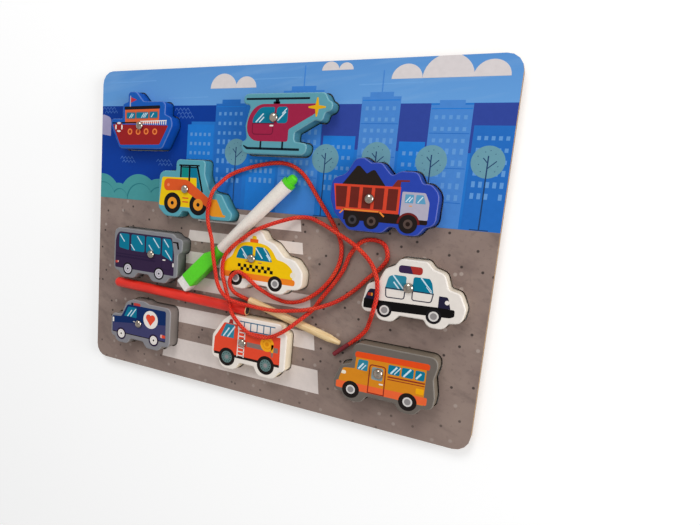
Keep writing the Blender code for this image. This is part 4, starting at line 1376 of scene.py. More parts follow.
@dataclass
class Ambulance(VehiclePiece):
    """The ambulance on its grey block, with a plain heart on its side."""

    node: str = "ambulance"
    border: str = "87858a"
    wall: str = "867e79"
    wheels: tuple = ((-115.3, -87.2), (-83.2, -86.8))
    disc_centre: Point = (-86.8, -71.5)

    def draw(self, art: PrintedFace) -> None:
        """Print the body, windscreen, heart, lamps and wheels."""
        art.area(1, Ink.VAN_NAVY, (-124.4, -86.8, 0.5), (-72.2, -86.4, 0.8), (-72.6, -62.7, 1.4),
                 (-109.6, -62.9, 1.2), (-115.6, -73.3, 1.2), (-124.6, -74.2, 0.8))
        art.area(2, Ink.VAN_SLATE, (-124.2, -86.2, 0.4), (-72.4, -85.8, 0.6), (-72.4, -73.4),
                 (-98.0, -76.2), (-124.2, -79.6))
        art.bars(3, Ink.CHASSIS, 0.6, (-124.0, -86.5), (-72.6, -86.2))
        art.area(3, Ink.GLASS_TEAL, (-112.8, -72.5, 0.5), (-100.5, -72.5, 0.5), (-100.5, -64.5, 0.6),
                 (-108.9, -64.6, 0.8))
        art.glints(4, (0.62, 0.79), 0.8, (-109.4, -72.2, 6.8), (-106.4, -72.0, 8.2))
        art.discs(3, Ink.WHITE, 6.9, self.disc_centre)
        self.draw_heart(art)
        art.boxes(1, Ink.INDIGO_BLACK, (-106.2, -62.9, -103.9, -61.0), rounding=0.6)
        art.boxes(1, Ink.TAIL_RED, (-103.7, -63.0, -97.0, -60.8), rounding=1.0)
        art.boxes(3, Ink.WHITE, (-124.4, -79.0, -123.0, -75.3), rounding=0.3)
        art.boxes(3, Ink.TAIL_PINK, (-77.0, -83.6, -74.4, -81.0), rounding=0.8)
        art.boxes(4, Ink.FIRE_RED, (-75.6, -83.4, -72.4, -81.2), rounding=0.4)
        art.bars(4, Ink.RIM_PALE, 0.8, (-103.6, -75.6), (-101.8, -75.7), rounding=0.3)
        art.wheels(self.wheels, (4.7, 3.4, 0.75), Ink.COACH_DARK, Ink.WHITE, Ink.BLACK)
        art.discs(5, Ink.HUB_PALE, 2.4, *self.wheels, line=0.25)

    def draw_heart(self, art: PrintedFace) -> None:
        """Print a plain red heart on the white disc."""
        x, y = self.disc_centre
        art.discs(4, Ink.FIRE_RED, 2.45, (x - 1.95, y + 1.5), (x + 1.95, y + 1.5))
        art.area(5, Ink.FIRE_RED, (x - 4.05, y + 0.2), (x, y - 4.7), (x + 4.05, y + 0.2), (x, y + 2.6),
                 rounding=0.25)


@dataclass
class FireEngine(VehiclePiece):
    """The fire engine on its white block."""

    node: str = "fire_engine"
    border: str = "eee4da"
    wall: str = "f6e6ca"
    wheels: tuple = ((-18.0, -85.9), (12.8, -85.7))
    reel: Point = (12.9, -70.9)
    roof_rungs: int = 5
    roof_rung_pitch: float = 5.03
    side_rungs: int = 7
    side_rung_pitch: float = 2.75
    hub_dots: int = 12

    def draw(self, art: PrintedFace) -> None:
        """Print the body, cab window, ladders, hose reel and wheels."""
        art.area(1, Ink.FIRE_RED, (-29.2, -83.8, 0.3), (23.1, -83.6, 0.3), (22.6, -64.7, 0.5),
                 (-10.4, -64.7), (-10.6, -61.5, 0.3), (-21.4, -61.5, 0.6), (-28.8, -73.2, 0.6))
        art.boxes(2, Ink.CHASSIS, (-28.7, -85.2, 23.0, -83.4), rounding=0.4)
        art.area(2, Ink.GLASS_MUTED, (-24.0, -71.7, 0.4), (-13.2, -71.7, 0.4), (-13.2, -62.1, 0.4),
                 (-20.0, -62.1, 0.5))
        art.glints(3, (0.56, 0.83), 1.0, (-21.8, -71.4, 8.0), (-18.4, -71.4, 10.0))
        art.boxes(1, Ink.CHASSIS, (-17.8, -61.4, -14.3, -60.5))
        art.discs(2, Ink.LIGHT_RED, 1.5, (-16.0, -59.8))
        self.draw_ladders(art)
        art.boxes(2, Ink.BAR_GREY, (-2.7, -75.6, 21.3, -72.2), rounding=0.2)
        art.discs(3, Ink.REEL_YELLOW, 5.1, self.reel)
        art.boxes(3, Ink.REEL_YELLOW, (16.2, -76.2, 18.0, -70.5), rounding=0.4)
        art.discs(4, Ink.REEL_DARK, 3.3, self.reel, line=0.4)
        art.discs(4, Ink.REEL_DARK, 1.4, self.reel)
        art.area(4, Ink.BAR_GREY, (16.8, -79.2), (17.6, -79.2), (18.1, -76.0), (16.2, -76.0),
                 rounding=0.2)
        art.wheels(self.wheels, (6.5, 4.2, 1.5), Ink.TYRE_BROWN, Ink.HUB_TEAL, Ink.HUB_GREY)
        for centre in self.wheels:
            dots = [around(centre, 3.2, 360 * dot / self.hub_dots) for dot in range(self.hub_dots)]
            art.discs(5, Ink.TYRE, 0.36, *dots, segments=10)

    def draw_ladders(self, art: PrintedFace) -> None:
        """Print the blue ladder on the roof and the white one on the side."""
        art.bars(1, Ink.LADDER_BLUE, 0.75, (-9.4, -58.6), (18.2, -58.4), (-6.0, -64.3), (15.0, -64.2))
        for rung in range(self.roof_rungs):
            x = -5.5 + self.roof_rung_pitch * rung
            art.bars(1, Ink.LADDER_BLUE, 0.75, (x, -58.5), (x, -64.4))
        art.bars(3, Ink.WHITE, 0.75, (-9.6, -64.6), (-9.8, -84.0), (-4.6, -64.6), (-4.8, -84.0))
        for rung in range(self.side_rungs):
            y = -66.4 - self.side_rung_pitch * rung
            art.bars(3, Ink.WHITE, 0.75, (-9.5, y), (-4.7, y))


@dataclass
class SchoolBus(VehiclePiece):
    """The school bus on its grey block."""

    node: str = "school_bus"
    border: str = "6c645d"
    wall: str = "807567"
    wheels: tuple = ((73.6, -88.0), (109.2, -87.5))
    windows: tuple = ((95.6, 102.8), (103.8, 110.9), (111.8, 117.4))

    def draw(self, art: PrintedFace) -> None:
        """Print the body, roof, band, door, windows and wheels."""
        art.area(1, Ink.BUS_ORANGE, (65.0, -87.6, 0.4), (118.3, -87.6, 0.4), (118.1, -64.0, 0.4),
                 (75.2, -65.0, 0.4), (74.9, -73.8, 0.4), (67.4, -74.7, 1.2), (65.3, -82.0, 0.6))
        art.area(2, Ink.BUS_BAND, (63.7, -88.2), (120.2, -87.2), (120.2, -82.4), (63.7, -83.6),
                 rounding=0.9)
        art.area(2, Ink.BUS_ROOF, (74.4, -66.5, 1.1), (119.7, -65.7, 1.1), (119.7, -61.9, 1.5),
                 (74.4, -62.8, 1.5))
        art.area(2, Ink.GLASS_MUTED, (76.1, -74.1), (83.0, -74.2), (83.1, -67.3), (76.9, -67.5),
                 rounding=0.9)
        art.boxes(2, Ink.GLASS_TEAL, *((left, -72.9, right, -67.0) for left, right in self.windows),
                  rounding=1.0)
        art.glints(3, (0.6, 0.8), 1.0, (77.2, -73.6, 5.0), (97.4, -72.4, 5.8), (105.2, -72.6, 6.6),
                   (112.6, -72.2, 4.4))
        art.glints(3, (0.6, 0.8), 0.6, (79.2, -73.8, 4.4), (99.6, -72.4, 5.8))
        art.bars(2, Ink.BUS_MAROON, 0.9, (95.8, -74.7), (118.0, -74.2))
        art.bars(2, Ink.BUS_MAROON, 0.55, (95.8, -76.3), (118.0, -75.8))
        art.area(3, Ink.BUS_MAROON, (84.1, -87.7), (94.8, -87.6), (94.5, -69.0, 2.0), (84.0, -69.0, 2.0),
                 line=0.7)
        art.boxes(3, Ink.BUS_GLASS, (85.8, -78.5, 92.8, -70.5), rounding=1.2)
        art.bars(3, Ink.WHITE, 0.9, (91.0, -80.6), (93.5, -80.5), rounding=0.3)
        art.area(2, Ink.CREAM, (66.4, -78.8, 0.6), (69.6, -78.8, 1.1), (69.6, -76.5, 1.1),
                 (67.0, -76.5, 0.5))
        art.boxes(2, Ink.BUS_AMBER, (113.2, -81.2, 117.8, -77.8), rounding=0.6)
        art.wheels(self.wheels, (5.5, 2.9, 1.95), Ink.TYRE_BROWN, Ink.RIM_PALE, Ink.HUB_GREY)


@dataclass
class Board:
    """The two panels of the board and the town printed on the upper one. Its sizes are in millimetres."""

    # Each tower's left side, right side, roof height and ink
    towers: tuple = (
        (-66.0, -44.0, 74.0, Ink.TOWER_BRIGHT), (-43.0, -19.0, 88.0, Ink.TOWER_MID),
        (-16.0, 6.0, 70.0, Ink.TOWER_BRIGHT), (8.0, 36.0, 95.5, Ink.TOWER_PALE),
        (38.0, 59.0, 68.0, Ink.TOWER_BRIGHT), (61.0, 84.5, 91.0, Ink.TOWER_SKY),
        (86.0, 101.0, 65.5, Ink.TOWER_BRIGHT), (102.0, 125.0, 86.0, Ink.TOWER_SKY),
        (126.5, 148.0, 75.0, Ink.TOWER_MID),
    )
    trees: tuple = ((-25.0, 56.0), (40.5, 54.0), (73.0, 56.0), (105.5, 55.0), (136.0, 55.5))
    # Each stripe's left and right side at its far edge, then its near and far edge
    stripes: tuple = ((-52.0, 27.4, 6.8, 14.2), (-60.0, 30.0, -8.0, -0.4), (-64.0, 33.0, -25.0, -16.0),
                      (-68.0, 38.5, -44.0, -34.0), (-71.5, 43.5, -70.4, -58.8),
                      (-77.5, 48.5, -99.6, -83.4))
    stripe_flare: float = 0.14
    streaks: tuple = ((-140, -96, 104), (-30, 20, 103), (58, 96, 98), (-84, -50, 92))
    # Each cloud's flat bottom, then the place and radius of each lobe
    clouds: tuple = ((98.0, (-38.0, 10.4), (-20.4, 7.9)), (107.0, (38.9, 5.6), (49.0, 4.6)),
                     (100.8, (86.3, 8.9), (109.2, 14.0), (132.2, 9.6)))
    far_blocks: tuple = ((36.5, 61.0), (84.5, 102.0), (125.0, 148.0))
    waves: tuple = ((-78.0, 83.4), (-76.0, 80.8), (-74.0, 78.2), (-147.0, 84.4), (-145.0, 81.8),
                    (-128.0, 48.0), (-126.0, 45.4), (-93.0, 47.0), (-91.0, 44.4))
    wave_half: float = 1.6
    wave_rise: float = 1.9
    bushes: tuple = ((-146.0, 18.5), (-129.0, 12.0), (-109.0, 19.5), (-90.0, 17.0))
    bush_line: float = 0.66
    shore: float = 17.6
    horizon: float = 86.9
    left_edge: float = -148.0
    stepped_roof: float = 80.0
    mast_roof: float = 89.0
    roof_step: float = 2.6
    roof_inset: float = 0.2
    mast: float = 15
    window_rise: float = 6.4
    window_half: float = 0.95
    window_spacing: float = 4.6
    low_window: float = 2.2
    high_window: float = 3.2
    first_sill: float = 7.8
    wall_margin: float = 1.5
    ground_floor: float = 14
    crown_radius: float = 8.9
    leaves: tuple = ((3.6, 4.4), (5.4, -2.2), (-4.6, -1.4), (-1.8, 5.4), (4.2, -5.0), (0.9, 6.2),
                     (-5.4, 3.0), (-3.2, -5.2))

    def dress(self, nodes: dict, inks: InkShelf) -> list[bpy.types.Object]:
        """Give the panels their materials and print the town.

        Args:
            nodes: The CAD nodes by name.
            inks: Where the inks' materials come from.

        Returns:
            The printed picture.
        """
        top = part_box("frame_panel")[1].z
        dress_node(nodes["frame_panel"], PrintedPanel(top).make())
        dress_node(nodes["base_panel"], WhiteBoard(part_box("base_panel")[1].z).make())
        art = PrintedFace("town_print", top)
        self.draw_sky(art)
        self.draw_sea(art)
        for tower in self.towers:
            self.draw_tower(art, *tower)
        self.draw_bushes(art)
        for x, y in self.trees:
            self.draw_tree(art, x, y)
        for left, right, low, high in self.stripes:
            flare = (high - low) * self.stripe_flare
            art.area(2, Ink.ZEBRA, (left - flare, low), (right + flare, low), (right, high), (left, high))
        cutter = self.panel_cutter(nodes["frame_panel"])
        picture = art.piece(inks, cutter)
        bpy.data.objects.remove(cutter)
        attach(picture, "board")
        return [picture]

    @staticmethod
    def panel_cutter(panel: bpy.types.Object) -> bpy.types.Object:
        """Copy the panel and stretch it upward, so that it holds every coat of ink.

        Args:
            panel: The frame panel's CAD node.

        Returns:
            The cutter.
        """
        work = merged_copy(panel)
        middle = (max(vert.co.z for vert in work.verts) + min(vert.co.z for vert in work.verts)) / 2
        top = [vert for vert in work.verts if vert.co.z > middle]
        bmesh.ops.translate(work, verts=top, vec=(0.0, 0.0, 1 * MM))
        cutter = new_piece("panel_cutter", work, [])
        cutter.hide_render = True
        return cutter

    def draw_sky(self, art: PrintedFace) -> None:
        """Print streaks and flat-bottomed clouds.

        Args:
            art: The picture.
        """
        for left, right, y in self.streaks:
            art.bars(1, Ink.SKY_STREAK, 0.7, (left, y), (right, y + 0.6), rounding=0.3)
        for base, *lobes in self.clouds:
            for number, (x, radius) in enumerate(lobes):
                art.half_disc(3 + number % 2, Ink.CLOUD, radius, (x, base), 0.92)

    def draw_sea(self, art: PrintedFace) -> None:
        """Print the dark water behind the boat, its waves and the far indigo blocks.

        Args:
            art: The picture.
        """
        left, shore, horizon = self.left_edge, self.shore, self.horizon
        art.area(1, Ink.SEA_NAVY, (left, shore), (-63, shore), (-63, 76), (-38, 76), (-38, horizon),
                 (left, horizon))
        art.area(2, Ink.SEA_DEEP, (left, shore), (-80, shore), (-78, 56), (-104, 60), (left, 66))
        art.area(2, Ink.ROCK, (left, 63.5), (-138.5, 63.5), (-138.5, 78.5), (left, 81.5), rounding=2.6)
        art.boxes(1, Ink.INDIGO, *((start, 60.0, end, horizon) for start, end in self.far_blocks))
        for start, y in self.waves:
            for step in range(4):
                x = start + 2 * self.wave_half * step
                crest = (x + self.wave_half, y + self.wave_rise)
                art.bars(3, Ink.WAVE, 0.4, (x, y), crest)
                art.bars(4, Ink.WAVE, 0.4, crest, (x + 2 * self.wave_half, y))

    def draw_tower(self, art: PrintedFace, left: float, right: float, top: float, ink: Ink) -> None:
        """Print one tower with its roof step and mast.

        Args:
            art: The picture.
            left: Its left side.
            right: Its right side.
            top: Its roof's height.
            ink: Its ink.
        """
        art.boxes(2, ink, (left, self.shore + 0.2, right, top))
        if top > self.stepped_roof:
            step = (right - left) * self.roof_inset
            art.boxes(2, ink, (left + step, top - 0.1, right - step, top + self.roof_step))
            art.bars(3, Ink.TOWER_BRIGHT, 0.5, (left + 0.4, top - 2.0), (right - 0.4, top - 2.0))
        if top > self.mast_roof:
            middle = (left + right) / 2
            art.bars(2, ink, 0.7, (middle, top + 2), (middle, top + self.mast))
        self.draw_windows(art, left, right, top)

    def draw_windows(self, art: PrintedFace, left: float, right: float, top: float) -> None:
        """Print one tower's windows, some of them dark, and a ledge under every third row.

        Args:
            art: The picture.
            left: The tower's left side.
            right: Its right side.
            top: Its roof's height.
        """
        columns = max(3, round((right - left) / self.window_spacing))
        pitch = (right - left - 2 * self.wall_margin) / columns
        for row in range(int((top - self.shore - self.ground_floor) / self.window_rise)):
            low = top - self.first_sill - self.window_rise * row
            high = low + (self.low_window if row < 3 else self.high_window)
            if top > self.stepped_roof and row % 3 == 1:
                art.bars(3, Ink.TOWER_MID, 0.4, (left + 0.5, low - 1.3), (right - 0.5, low - 1.3))
            for column in range(columns):
                if row > 3 and (row * 3 + column * 5 + columns) % 7 == 0:
                    continue
                x = left + self.wall_margin + pitch * (column + 0.5)
                art.boxes(3, Ink.WINDOW_BLUE, (x - self.window_half, low, x + self.window_half, high))

    def draw_bushes(self, art: PrintedFace) -> None:
        """Print the rounded bushes at the water's edge, each with a thin inner line.

        Args:
            art: The picture.
        """
        for number, (x, radius) in enumerate(self.bushes):
            art.half_disc(3 + number % 2, Ink.BUSH, radius, (x, self.shore))
            art.half_disc(5, Ink.BUSH_LINE, self.bush_line * radius, (x + 1.0, self.shore))
            art.half_disc(6, Ink.BUSH, self.bush_line * radius - 0.7, (x + 1.6, self.shore))

    def draw_tree(self, art: PrintedFace, x: float, y: float) -> None:
        """Print a round tree with its trunk, branches and leaves.

        Args:
            art: The picture.
            x: The middle of its crown, along the board.
            y: The middle of its crown, across the board.
        """
        ground = self.shore + 0.5
        art.discs(4, Ink.CROWN, self.crown_radius, (x, y))
        art.bars(5, Ink.BARK, 0.7, (x, ground - 0.1), (x, y + 3.4))
        art.bars(5, Ink.BARK, 0.5, (x - 5, ground), (x + 5, ground))
        art.bars(6, Ink.BARK, 0.5, (x, y - 3.6), (x + 4.6, y + 0.6), (x, y - 0.6), (x - 2.6, y + 2.2))
        art.discs(5, Ink.BARK, 0.26, *((x + dx, y + dy) for dx, dy in self.leaves), segments=8)


@dataclass
class Marker:
    """The dry-wipe marker: its green cap with a felt eraser, white barrel, nose, nib and plug.

    A section is its place along the marker, half its height and its corner radius, in millimetres.
    """

    green: str = "58d61e"
    place: Point = (-59.0 * MM, -40.9 * MM)
    heading: float = 45.0
    felt_sections: tuple = ((0.0, 4.1, 0.7), (0.4, 4.5, 1.0), (6.3, 4.5, 1.0), (6.3, 2.5, 2.5),
                            (8.3, 2.5, 2.5))
    cap_sections: tuple = (
        (8.35, 2.55, 2.55), (6.32, 2.55, 2.55), (6.32, 4.3, 0.7), (6.72, 4.7, 1.0), (31.72, 4.7, 1.0),
        (35.22, 4.1, 4.1), (42.22, 4.1, 4.1), (42.22, 3.06, 3.06), (29.2, 3.06, 3.06), (29.2, 2.06, 2.06),
        (25.2, 2.06, 2.06),
    )
    square_spread: float = 1.15
    corner_steps: int = 7

    def dress(self, nodes: dict) -> list[bpy.types.Object]:
        """Make the cap and its felt, and give the marker's other CAD nodes their materials.

        Args:
            nodes: The CAD nodes by name.

        Returns:
            The cap and the felt.
        """
        green = MouldedPlastic("green_plastic", self.green).make()
        white = MouldedPlastic("white_plastic", "f0e8de", 0.3).make()
        felt = WoolFelt("white_felt", "f3eee8").make()
        for name, material in (("marker_end_plug", green), ("marker_barrel", white), ("marker_nose", white),
                               ("marker_nib", WoolFelt("green_nib", "1f7a3a").make()),
                               ("ink_reservoir", WoolFelt("ink_fibre", "2f9a4c").make())):
            dress_node(nodes[name], material)
        pieces = (("marker_cap", "square_cap", self.cap_sections, green, "green_plastic"),
                  ("marker_eraser", "felt_block", self.felt_sections, felt, "white_felt"))
        return [self.make_square_piece(*piece) for piece in pieces]

    def make_square_piece(self, node: str, name: str, sections: Sequence[Point],
                          material: bpy.types.Material, slot: str) -> bpy.types.Object:
        """Loft a piece of the cap along the marker and put it in its CAD node's place.

        Args:
            node: The CAD node that it replaces.
            name: The piece's name.
            sections: Its sections in order.
            material: Its material.
            slot: Not used.

        Returns:
            The piece.
        """
        work = bmesh.new()
        rings = [self.add_ring(work, *section) for section in sections]
        for ring, following in zip(rings, rings[1:]):
            for index, vert in enumerate(ring):
                work.faces.new((ring[index - 1], vert, following[index], following[index - 1]))
        work.faces.new(rings[0])
        work.faces.new(rings[-1])
        bmesh.ops.remove_doubles(work, verts=work.verts, dist=SAME_POINT)
        bmesh.ops.recalc_face_normals(work, faces=work.faces)
        turn = Matrix.Rotation(math.radians(self.heading), 3, "Z")
        bmesh.ops.rotate(work, verts=work.verts, cent=(0.0, 0.0, 0.0), matrix=turn)
        low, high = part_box(node)
        bmesh.ops.translate(work, verts=work.verts, vec=(*self.place, (low.z + high.z) / 2))
        piece = new_piece(name, work, [material], smooth=True)
        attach(piece, "marker_cap_body")
        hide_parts(node)
        return piece

    def add_ring(self, work: bmesh.types.BMesh, along: float, half: float,
                 corner: float) -> list[bmesh.types.BMVert]:
        """Add one section as vertices in a plane across the X axis. A square one is wider than high.

        Args:
            work: The mesh that they join.
            along: The section's place along the axis.
            half: Half its height.
            corner: The radius of its corners.

        Returns:
            The section's vertices, in order.
        """
        spread = 1.0 if half == corner else self.square_spread
        ring = []
        for quarter, (side, rise) in enumerate(((1, 1), (-1, 1), (-1, -1), (1, -1))):
            for step in range(self.corner_steps):
                turn = 90 * (quarter + step / (self.corner_steps - 1))
                across, up = around((side * (half - corner), rise * (half - corner)), corner, turn)
                ring.append(work.verts.new((along * MM, across * spread * MM, up * MM)))
        return ring


@dataclass
class MagnetRod:
    """The red rod with the magnet in its flat end."""

    end: Point = (-5.2 * MM, -50.8 * MM, 0.0)
    heading: float = 178.2

    def dress(self, nodes: dict) -> None:
        """Give the rod and its magnet their materials."""
        dress_node(nodes["magnet_rod"], RedLacquer(self.end, self.heading).make())
        dress_node(nodes["rod_magnet"], Ferrite().make())


# The cord's middle from inside the needle's bore to its sleeve: plan point and height above the board's top
CORD_ROUTE = (
    # Out of the needle, over the taxi's wheel and back down to the board
    (2.4, -45.7, 3.0), (-9.0, -42.8, 3.0), (-12.5, -41.0, 5.2), (-14.2, -38.2, 9.6),
    (-16.2, -34.0, 11.4), (-16.6, -29.2, 11.2), (-10.8, -23.8, 11.2), (0.9, -29.7, 11.3),
    (4.6, -32.2, 11.2), (8.4, -35.7, 6.6), (13.5, -39.3, 2.2), (22.9, -40.9, 1.65),
    (32.2, -39.0, 1.65),
    # The wide loop past the helicopter
    (40.6, -34.0, 1.65), (48.2, -26.8, 1.65), (54.2, -17.8, 1.65), (57.5, -8.0, 1.65),
    (57.1, 1.6, 1.65), (51.9, 11.9, 1.65), (39.5, 28.4, 1.65), (27.0, 43.7, 1.65),
    (18.7, 48.6, 1.65), (9.4, 50.0, 1.65), (-10.2, 46.6, 1.65), (-26.9, 40.3, 2.6),
    # Over the wheel loader's bucket and the marker
    (-31.8, 34.4, 7.0), (-34.6, 28.7, 11.2), (-37.9, 15.2, 11.2), (-37.0, 7.2, 11.4),
    (-33.1, -4.6, 11.4), (-31.6, -14.0, 11.4), (-29.5, -22.2, 11.6), (-25.4, -33.5, 13.2),
    (-20.9, -39.1, 14.2), (-15.9, -43.1, 13.3), (-11.0, -44.9, 10.8), (-6.0, -46.0, 9.0),
    # Along the needle and out to the small loop
    (0.0, -46.7, 7.6), (14.0, -47.0, 7.3), (24.2, -46.0, 6.4), (41.5, -42.1, 5.5),
    (57.8, -34.9, 3.0), (69.5, -25.2, 1.65), (76.3, -17.5, 1.65), (83.3, -10.4, 1.65),
    (87.1, -3.6, 1.65), (84.5, 4.3, 1.65), (77.5, 6.7, 1.65), (70.3, 4.7, 1.65),
    (63.7, -4.0, 1.65), (60.0, -14.4, 1.65), (54.2, -24.5, 1.65), (46.2, -36.1, 1.65),
    (43.4, -40.9, 1.65), (40.7, -44.4, 2.2),
    # Over the needle, the fire engine, the magnet rod and the taxi
    (37.1, -48.6, 6.0), (33.7, -52.1, 8.2), (30.7, -55.2, 10.2), (26.8, -58.5, 11.4),
    (20.0, -63.0, 11.2), (11.0, -65.9, 11.2), (0.3, -64.5, 11.2), (-10.1, -57.0, 11.4),
    (-15.1, -51.4, 10.6), (-17.7, -45.3, 9.2), (-20.1, -35.5, 11.2), (-23.3, -25.4, 11.2),
    (-22.2, -14.8, 11.2), (-17.3, -8.2, 11.3), (-9.3, -1.4, 11.3), (-1.1, 4.5, 11.4),
    (7.4, 8.9, 9.8), (16.3, 12.7, 6.4), (25.8, 15.8, 2.9), (34.1, 16.3, 2.0),
    (43.3, 13.8, 4.0),
    # Over both loops and the police car, down to the board
    (55.6, 8.5, 5.7), (67.5, 2.2, 5.5), (77.5, -5.7, 6.2), (82.4, -11.6, 8.8),
    (85.2, -17.4, 11.4), (85.8, -26.4, 11.2), (84.2, -36.9, 11.3), (81.4, -43.0, 4.6),
    (79.0, -49.3, 1.7), (75.1, -54.7, 1.7), (71.3, -58.6, 1.7), (68.9, -61.0, 1.7),
)


@dataclass
class CordedNeedle:
    """The wooden needle, the long braided cord in its bore and the sleeve on the cord's free end."""

    board_top: float
    heading: float = -14.3
    sleeve: Point = (68.8 * MM, -60.8 * MM, 0.0)
    sleeve_heading: float = -137.5
    route: tuple = CORD_ROUTE
    radius: float = 1.35 * MM
    strands: int = 4
    pick: float = 2.2 * MM
    relief: float = 0.12 * MM
    step: float = 0.5 * MM
    path_step: float = 2.0 * MM
    bevel_steps: int = 9

    def dress(self, nodes: dict) -> list[bpy.types.Object]:
        """Make the cord and give the needle and the sleeve their materials.

        Args:
            nodes: The CAD nodes by name.

        Returns:
            The cord.
        """
        dress_node(nodes["needle"], BareBirch(self.heading).make())
        dress_node(nodes["cord_tip"], DullSleeve(self.sleeve, self.sleeve_heading).make())
        knots = np.array([(x * MM, y * MM, self.board_top + z * MM) for x, y, z in self.route])
        line = smooth_line(knots)
        length = float(np.linalg.norm(np.diff(line, axis=0), axis=1).sum())
        cord = self.braided_tube(line, length)
        cord.data.materials.append(BraidedRed(self.strands, self.pick).make())
        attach(cord, "corded_needle")
        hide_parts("cord")
        return [cord]

    def braided_tube(self, line: np.ndarray, length: float) -> bpy.types.Object:
        """Sweep a round tube along the line and raise its braid.

        Args:
            line: Points along the cord's middle.
            length: The cord's length.

        Returns:
            The tube, with a UV map named braid.
        """
        points = even_line(line, self.step)
        curve = bpy.data.curves.new("cord_line", "CURVE")
        curve.dimensions = "3D"
        curve.bevel_depth = self.radius
        curve.bevel_resolution = self.bevel_steps
        spline = curve.splines.new("POLY")
        spline.points.add(len(points) - 1)
        for knot, point in zip(spline.points, points):
            knot.co = (*point, 1.0)
        guide = bpy.data.objects.new("cord_line", curve)
        bpy.context.scene.collection.objects.link(guide)
        bpy.context.view_layer.update()
        mesh = bpy.data.meshes.new_from_object(guide.evaluated_get(bpy.context.evaluated_depsgraph_get()))
        bpy.data.objects.remove(guide)
        self.raise_braid(mesh, points, length)
        work = bmesh.new()
        work.from_mesh(mesh)
        bpy.data.meshes.remove(mesh)
        bmesh.ops.holes_fill(work, edges=[edge for edge in work.edges if edge.is_boundary], sides=0)
        bmesh.ops.recalc_face_normals(work, faces=work.faces)
        return new_piece("braided_cord", work, [], smooth=True)

    def raise_braid(self, mesh: bpy.types.Mesh, points: np.ndarray, length: float) -> None:
        """Map the tube's skin and move it in and out with the braid's strands.

        Args:
            mesh: The swept tube, ring after ring.
            points: The middles of its rings.
            length: The cord's length.
        """
        rings = len(points)
        sides = len(mesh.vertices) // rings
        place = np.zeros(len(mesh.vertices) * 3)
        mesh.vertices.foreach_get("co", place)
        place = place.reshape(rings, sides, 3)
        turn = np.arange(sides)[None, :] / sides * self.strands
        travel = np.linspace(0.0, length, rings)[:, None] / self.pick
        left, right = turn + travel, turn - travel
        over = np.mod(np.floor(left) + np.floor(right), 2.0)
        height = over * np.abs(np.sin(math.pi * left)) + (1 - over) * np.abs(np.sin(math.pi * right))
        out = (place - points[:, None, :]) / self.radius
        place = place + out * (height[:, :, None] - 1) * self.relief
        mesh.vertices.foreach_set("co", place.ravel())
        corners = np.zeros(len(mesh.loops), dtype=np.int32)
        mesh.loops.foreach_get("vertex_index", corners)
        side = (corners % sides).reshape(-1, 4)
        ring = (corners // sides).reshape(-1, 4)
        # A face that closes the round ends at U 1 instead of going back to U 0
        seam = (side.max(axis=1) - side.min(axis=1)) > 1
        around_cord = side / sides + ((side == 0) & seam[:, None])
        mapped = np.stack((around_cord.ravel(), (ring * length / (rings - 1)).ravel()), axis=1)
        mesh.uv_layers.new(name="braid").data.foreach_set("uv", mapped.ravel())


def smooth_line(route: np.ndarray, per_span: int = 16) -> np.ndarray:
    """Return dense points on a smooth curve through a route.

    Args:
        route: The knots that it passes through.
        per_span: How many points it gives for each span between two knots.

    Returns:
        The curve's points.
    """
    knots = np.array([2 * route[0] - route[1], *route, 2 * route[-1] - route[-2]])
    line = []
    for a, b, c, d in zip(knots, knots[1:], knots[2:], knots[3:]):
        first = np.linalg.norm(b - a) ** 0.5
        second = first + np.linalg.norm(c - b) ** 0.5
        third = second + np.linalg.norm(d - c) ** 0.5
        for t in np.linspace(first, second, per_span, endpoint=False):
            ab = a + (b - a) * t / first
            bc = b + (c - b) * (t - first) / (second - first)
            cd = c + (d - c) * (t - second) / (third - second)
            abc = ab + (bc - ab) * t / second
            bcd = bc + (cd - bc) * (t - first) / (third - first)
            line.append(abc + (bcd - abc) * (t - first) / (second - first))
    line.append(route[-1])
    return np.array(line)


def even_line(line: np.ndarray, step: float) -> np.ndarray:
    """Return points a step apart along a line.

    Args:
        line: The line's own points.
        step: The distance between the new points, in metres.

    Returns:
        The new points, with both ends kept.
    """
    travelled = np.concatenate(([0.0], np.cumsum(np.linalg.norm(np.diff(line, axis=0), axis=1))))
    wanted = np.linspace(0.0, travelled[-1], max(2, round(travelled[-1] / step)) + 1)
    return np.column_stack([np.interp(wanted, travelled, line[:, axis]) for axis in range(3)])


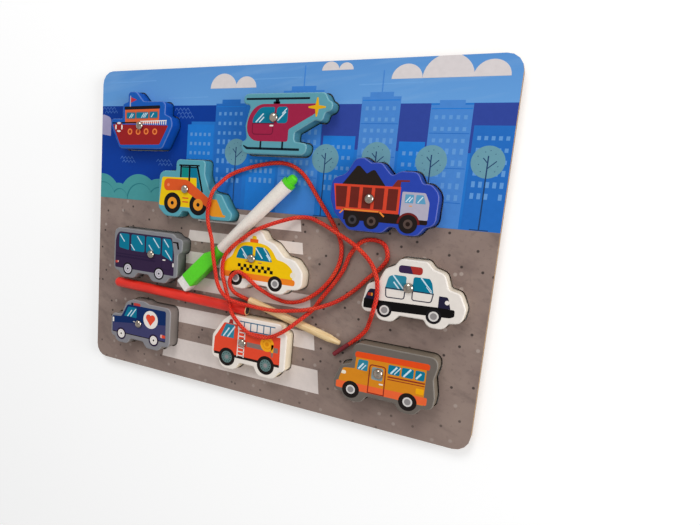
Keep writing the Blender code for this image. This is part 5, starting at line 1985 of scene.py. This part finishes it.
@dataclass
class Studio:
    """The floor, the lamps, the world and the camera."""

    board_top: float
    # Each lamp's name, place, side length and power in watts
    lamps: tuple = (("key_lamp", (-0.10, 1.0, 0.9), 0.5, 5.8),
                    ("side_lamp", (1.25, 0.15, 0.42), 0.6, 9.2))
    camera_place: Point = (175.65 * MM, 32.12 * MM, 335.02 * MM)
    camera_angles: Point = (-7.668, 28.779, 4.568)
    lens: float = 28.628
    sensor: float = 36.0
    shift: Point = (0.1371, 0.0333)
    near: float = 0.005
    floor_half: float = 3.0
    floor_drop: float = 0.05 * MM
    floor_glow: float = 0.28
    world_level: float = 0.52

    def build(self) -> None:
        """Make everything that isn't part of the object."""
        self.make_floor()
        self.make_world()
        for lamp in self.lamps:
            self.add_lamp(*lamp)
        self.make_camera()

    def make_floor(self) -> None:
        """Make a pale floor that shows white and keeps the object's shadow."""
        work = bmesh.new()
        bmesh.ops.create_grid(work, x_segments=1, y_segments=1, size=self.floor_half)
        bmesh.ops.translate(work, verts=work.verts, vec=(0.0, 0.0, -self.floor_drop))
        surface = Surface("pale_floor", 0.8, Specular_IOR_Level=0.1, Base_Color=linear("e9e9e9"))
        camera, glossy, through = surface.rays("Is Camera Ray", "Is Glossy Ray", "Is Transmission Ray")
        seen = surface.math("MAXIMUM", surface.math("MAXIMUM", camera, glossy), through)
        shine = {"Color": "ffffff", "Strength": seen * self.floor_glow}
        glow = surface.node("ShaderNodeEmission", {}, shine)
        joined = surface.node("ShaderNodeAddShader", {},
                              {0: surface.shader.outputs[0], 1: glow.outputs[0]})
        surface.feed(surface.tree.nodes["Material Output"].inputs["Surface"], joined.outputs[0])
        new_piece("floor", work, [surface.material])

    def make_world(self) -> None:
        """Make a white world that lights at a plain level."""
        world = bpy.data.worlds.new("studio")
        world.use_nodes = True
        nodes = NodeTree(world.node_tree)
        ground = nodes.tree.nodes["Background"]
        level = nodes.math("MAXIMUM", *nodes.rays("Is Camera Ray"), self.world_level)
        nodes.feed(ground.inputs["Color"], "ffffff")
        nodes.feed(ground.inputs["Strength"], level)
        bpy.context.scene.world = world

    @staticmethod
    def add_lamp(name: str, place: Point, size: float, power: float) -> None:
        """Add a square soft lamp that faces the board.

        Args:
            name: The lamp's name.
            place: Where it hangs.
            size: The length of its side.
            power: Its power in watts.
        """
        light = bpy.data.lights.new(name, "AREA")
        light.size = size
        light.energy = power
        lamp = bpy.data.objects.new(name, light)
        lamp.location = place
        lamp.rotation_euler = (-Vector(place)).to_track_quat("-Z", "Y").to_euler()
        bpy.context.scene.collection.objects.link(lamp)

    def make_camera(self) -> None:
        """Make the camera at the photograph's place and angle."""
        data = bpy.data.cameras.new("camera")
        data.lens = self.lens
        data.sensor_width = self.sensor
        data.shift_x, data.shift_y = self.shift
        data.clip_start = self.near
        camera = bpy.data.objects.new("camera", data)
        camera.location = Vector(self.camera_place) + Vector((0.0, 0.0, self.board_top))
        camera.rotation_euler = Euler([math.radians(angle) for angle in self.camera_angles], "XYZ")
        bpy.context.scene.collection.objects.link(camera)
        bpy.context.scene.camera = camera


def main() -> None:
    """Build every sub-assembly in order and report its pieces."""
    logging.basicConfig(level=logging.INFO, format="%(name)s: %(message)s")
    for thing in list(bpy.data.objects):
        bpy.data.objects.remove(thing)
    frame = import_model()
    nodes = frame["nodes"]
    board_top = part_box("frame_panel")[1].z
    bpy.context.scene.view_settings.view_transform = "Standard"
    Studio(board_top).build()
    inks = InkShelf()
    steel = PolishedSteel().make()
    pieces = Board().dress(nodes, inks)
    for kind in (Boat, Helicopter, WheelLoader, DumpTruck, Coach, Taxi, PoliceCar, Ambulance, FireEngine,
                 SchoolBus):
        pieces += kind().dress(nodes, inks, steel)
    pieces += Marker().dress(nodes)
    MagnetRod().dress(nodes)
    pieces += CordedNeedle(board_top).dress(nodes)
    for piece in pieces:
        LOG.info("%s: %d faces", piece.name, len(piece.data.polygons))


if __name__ == "__main__":
    main()
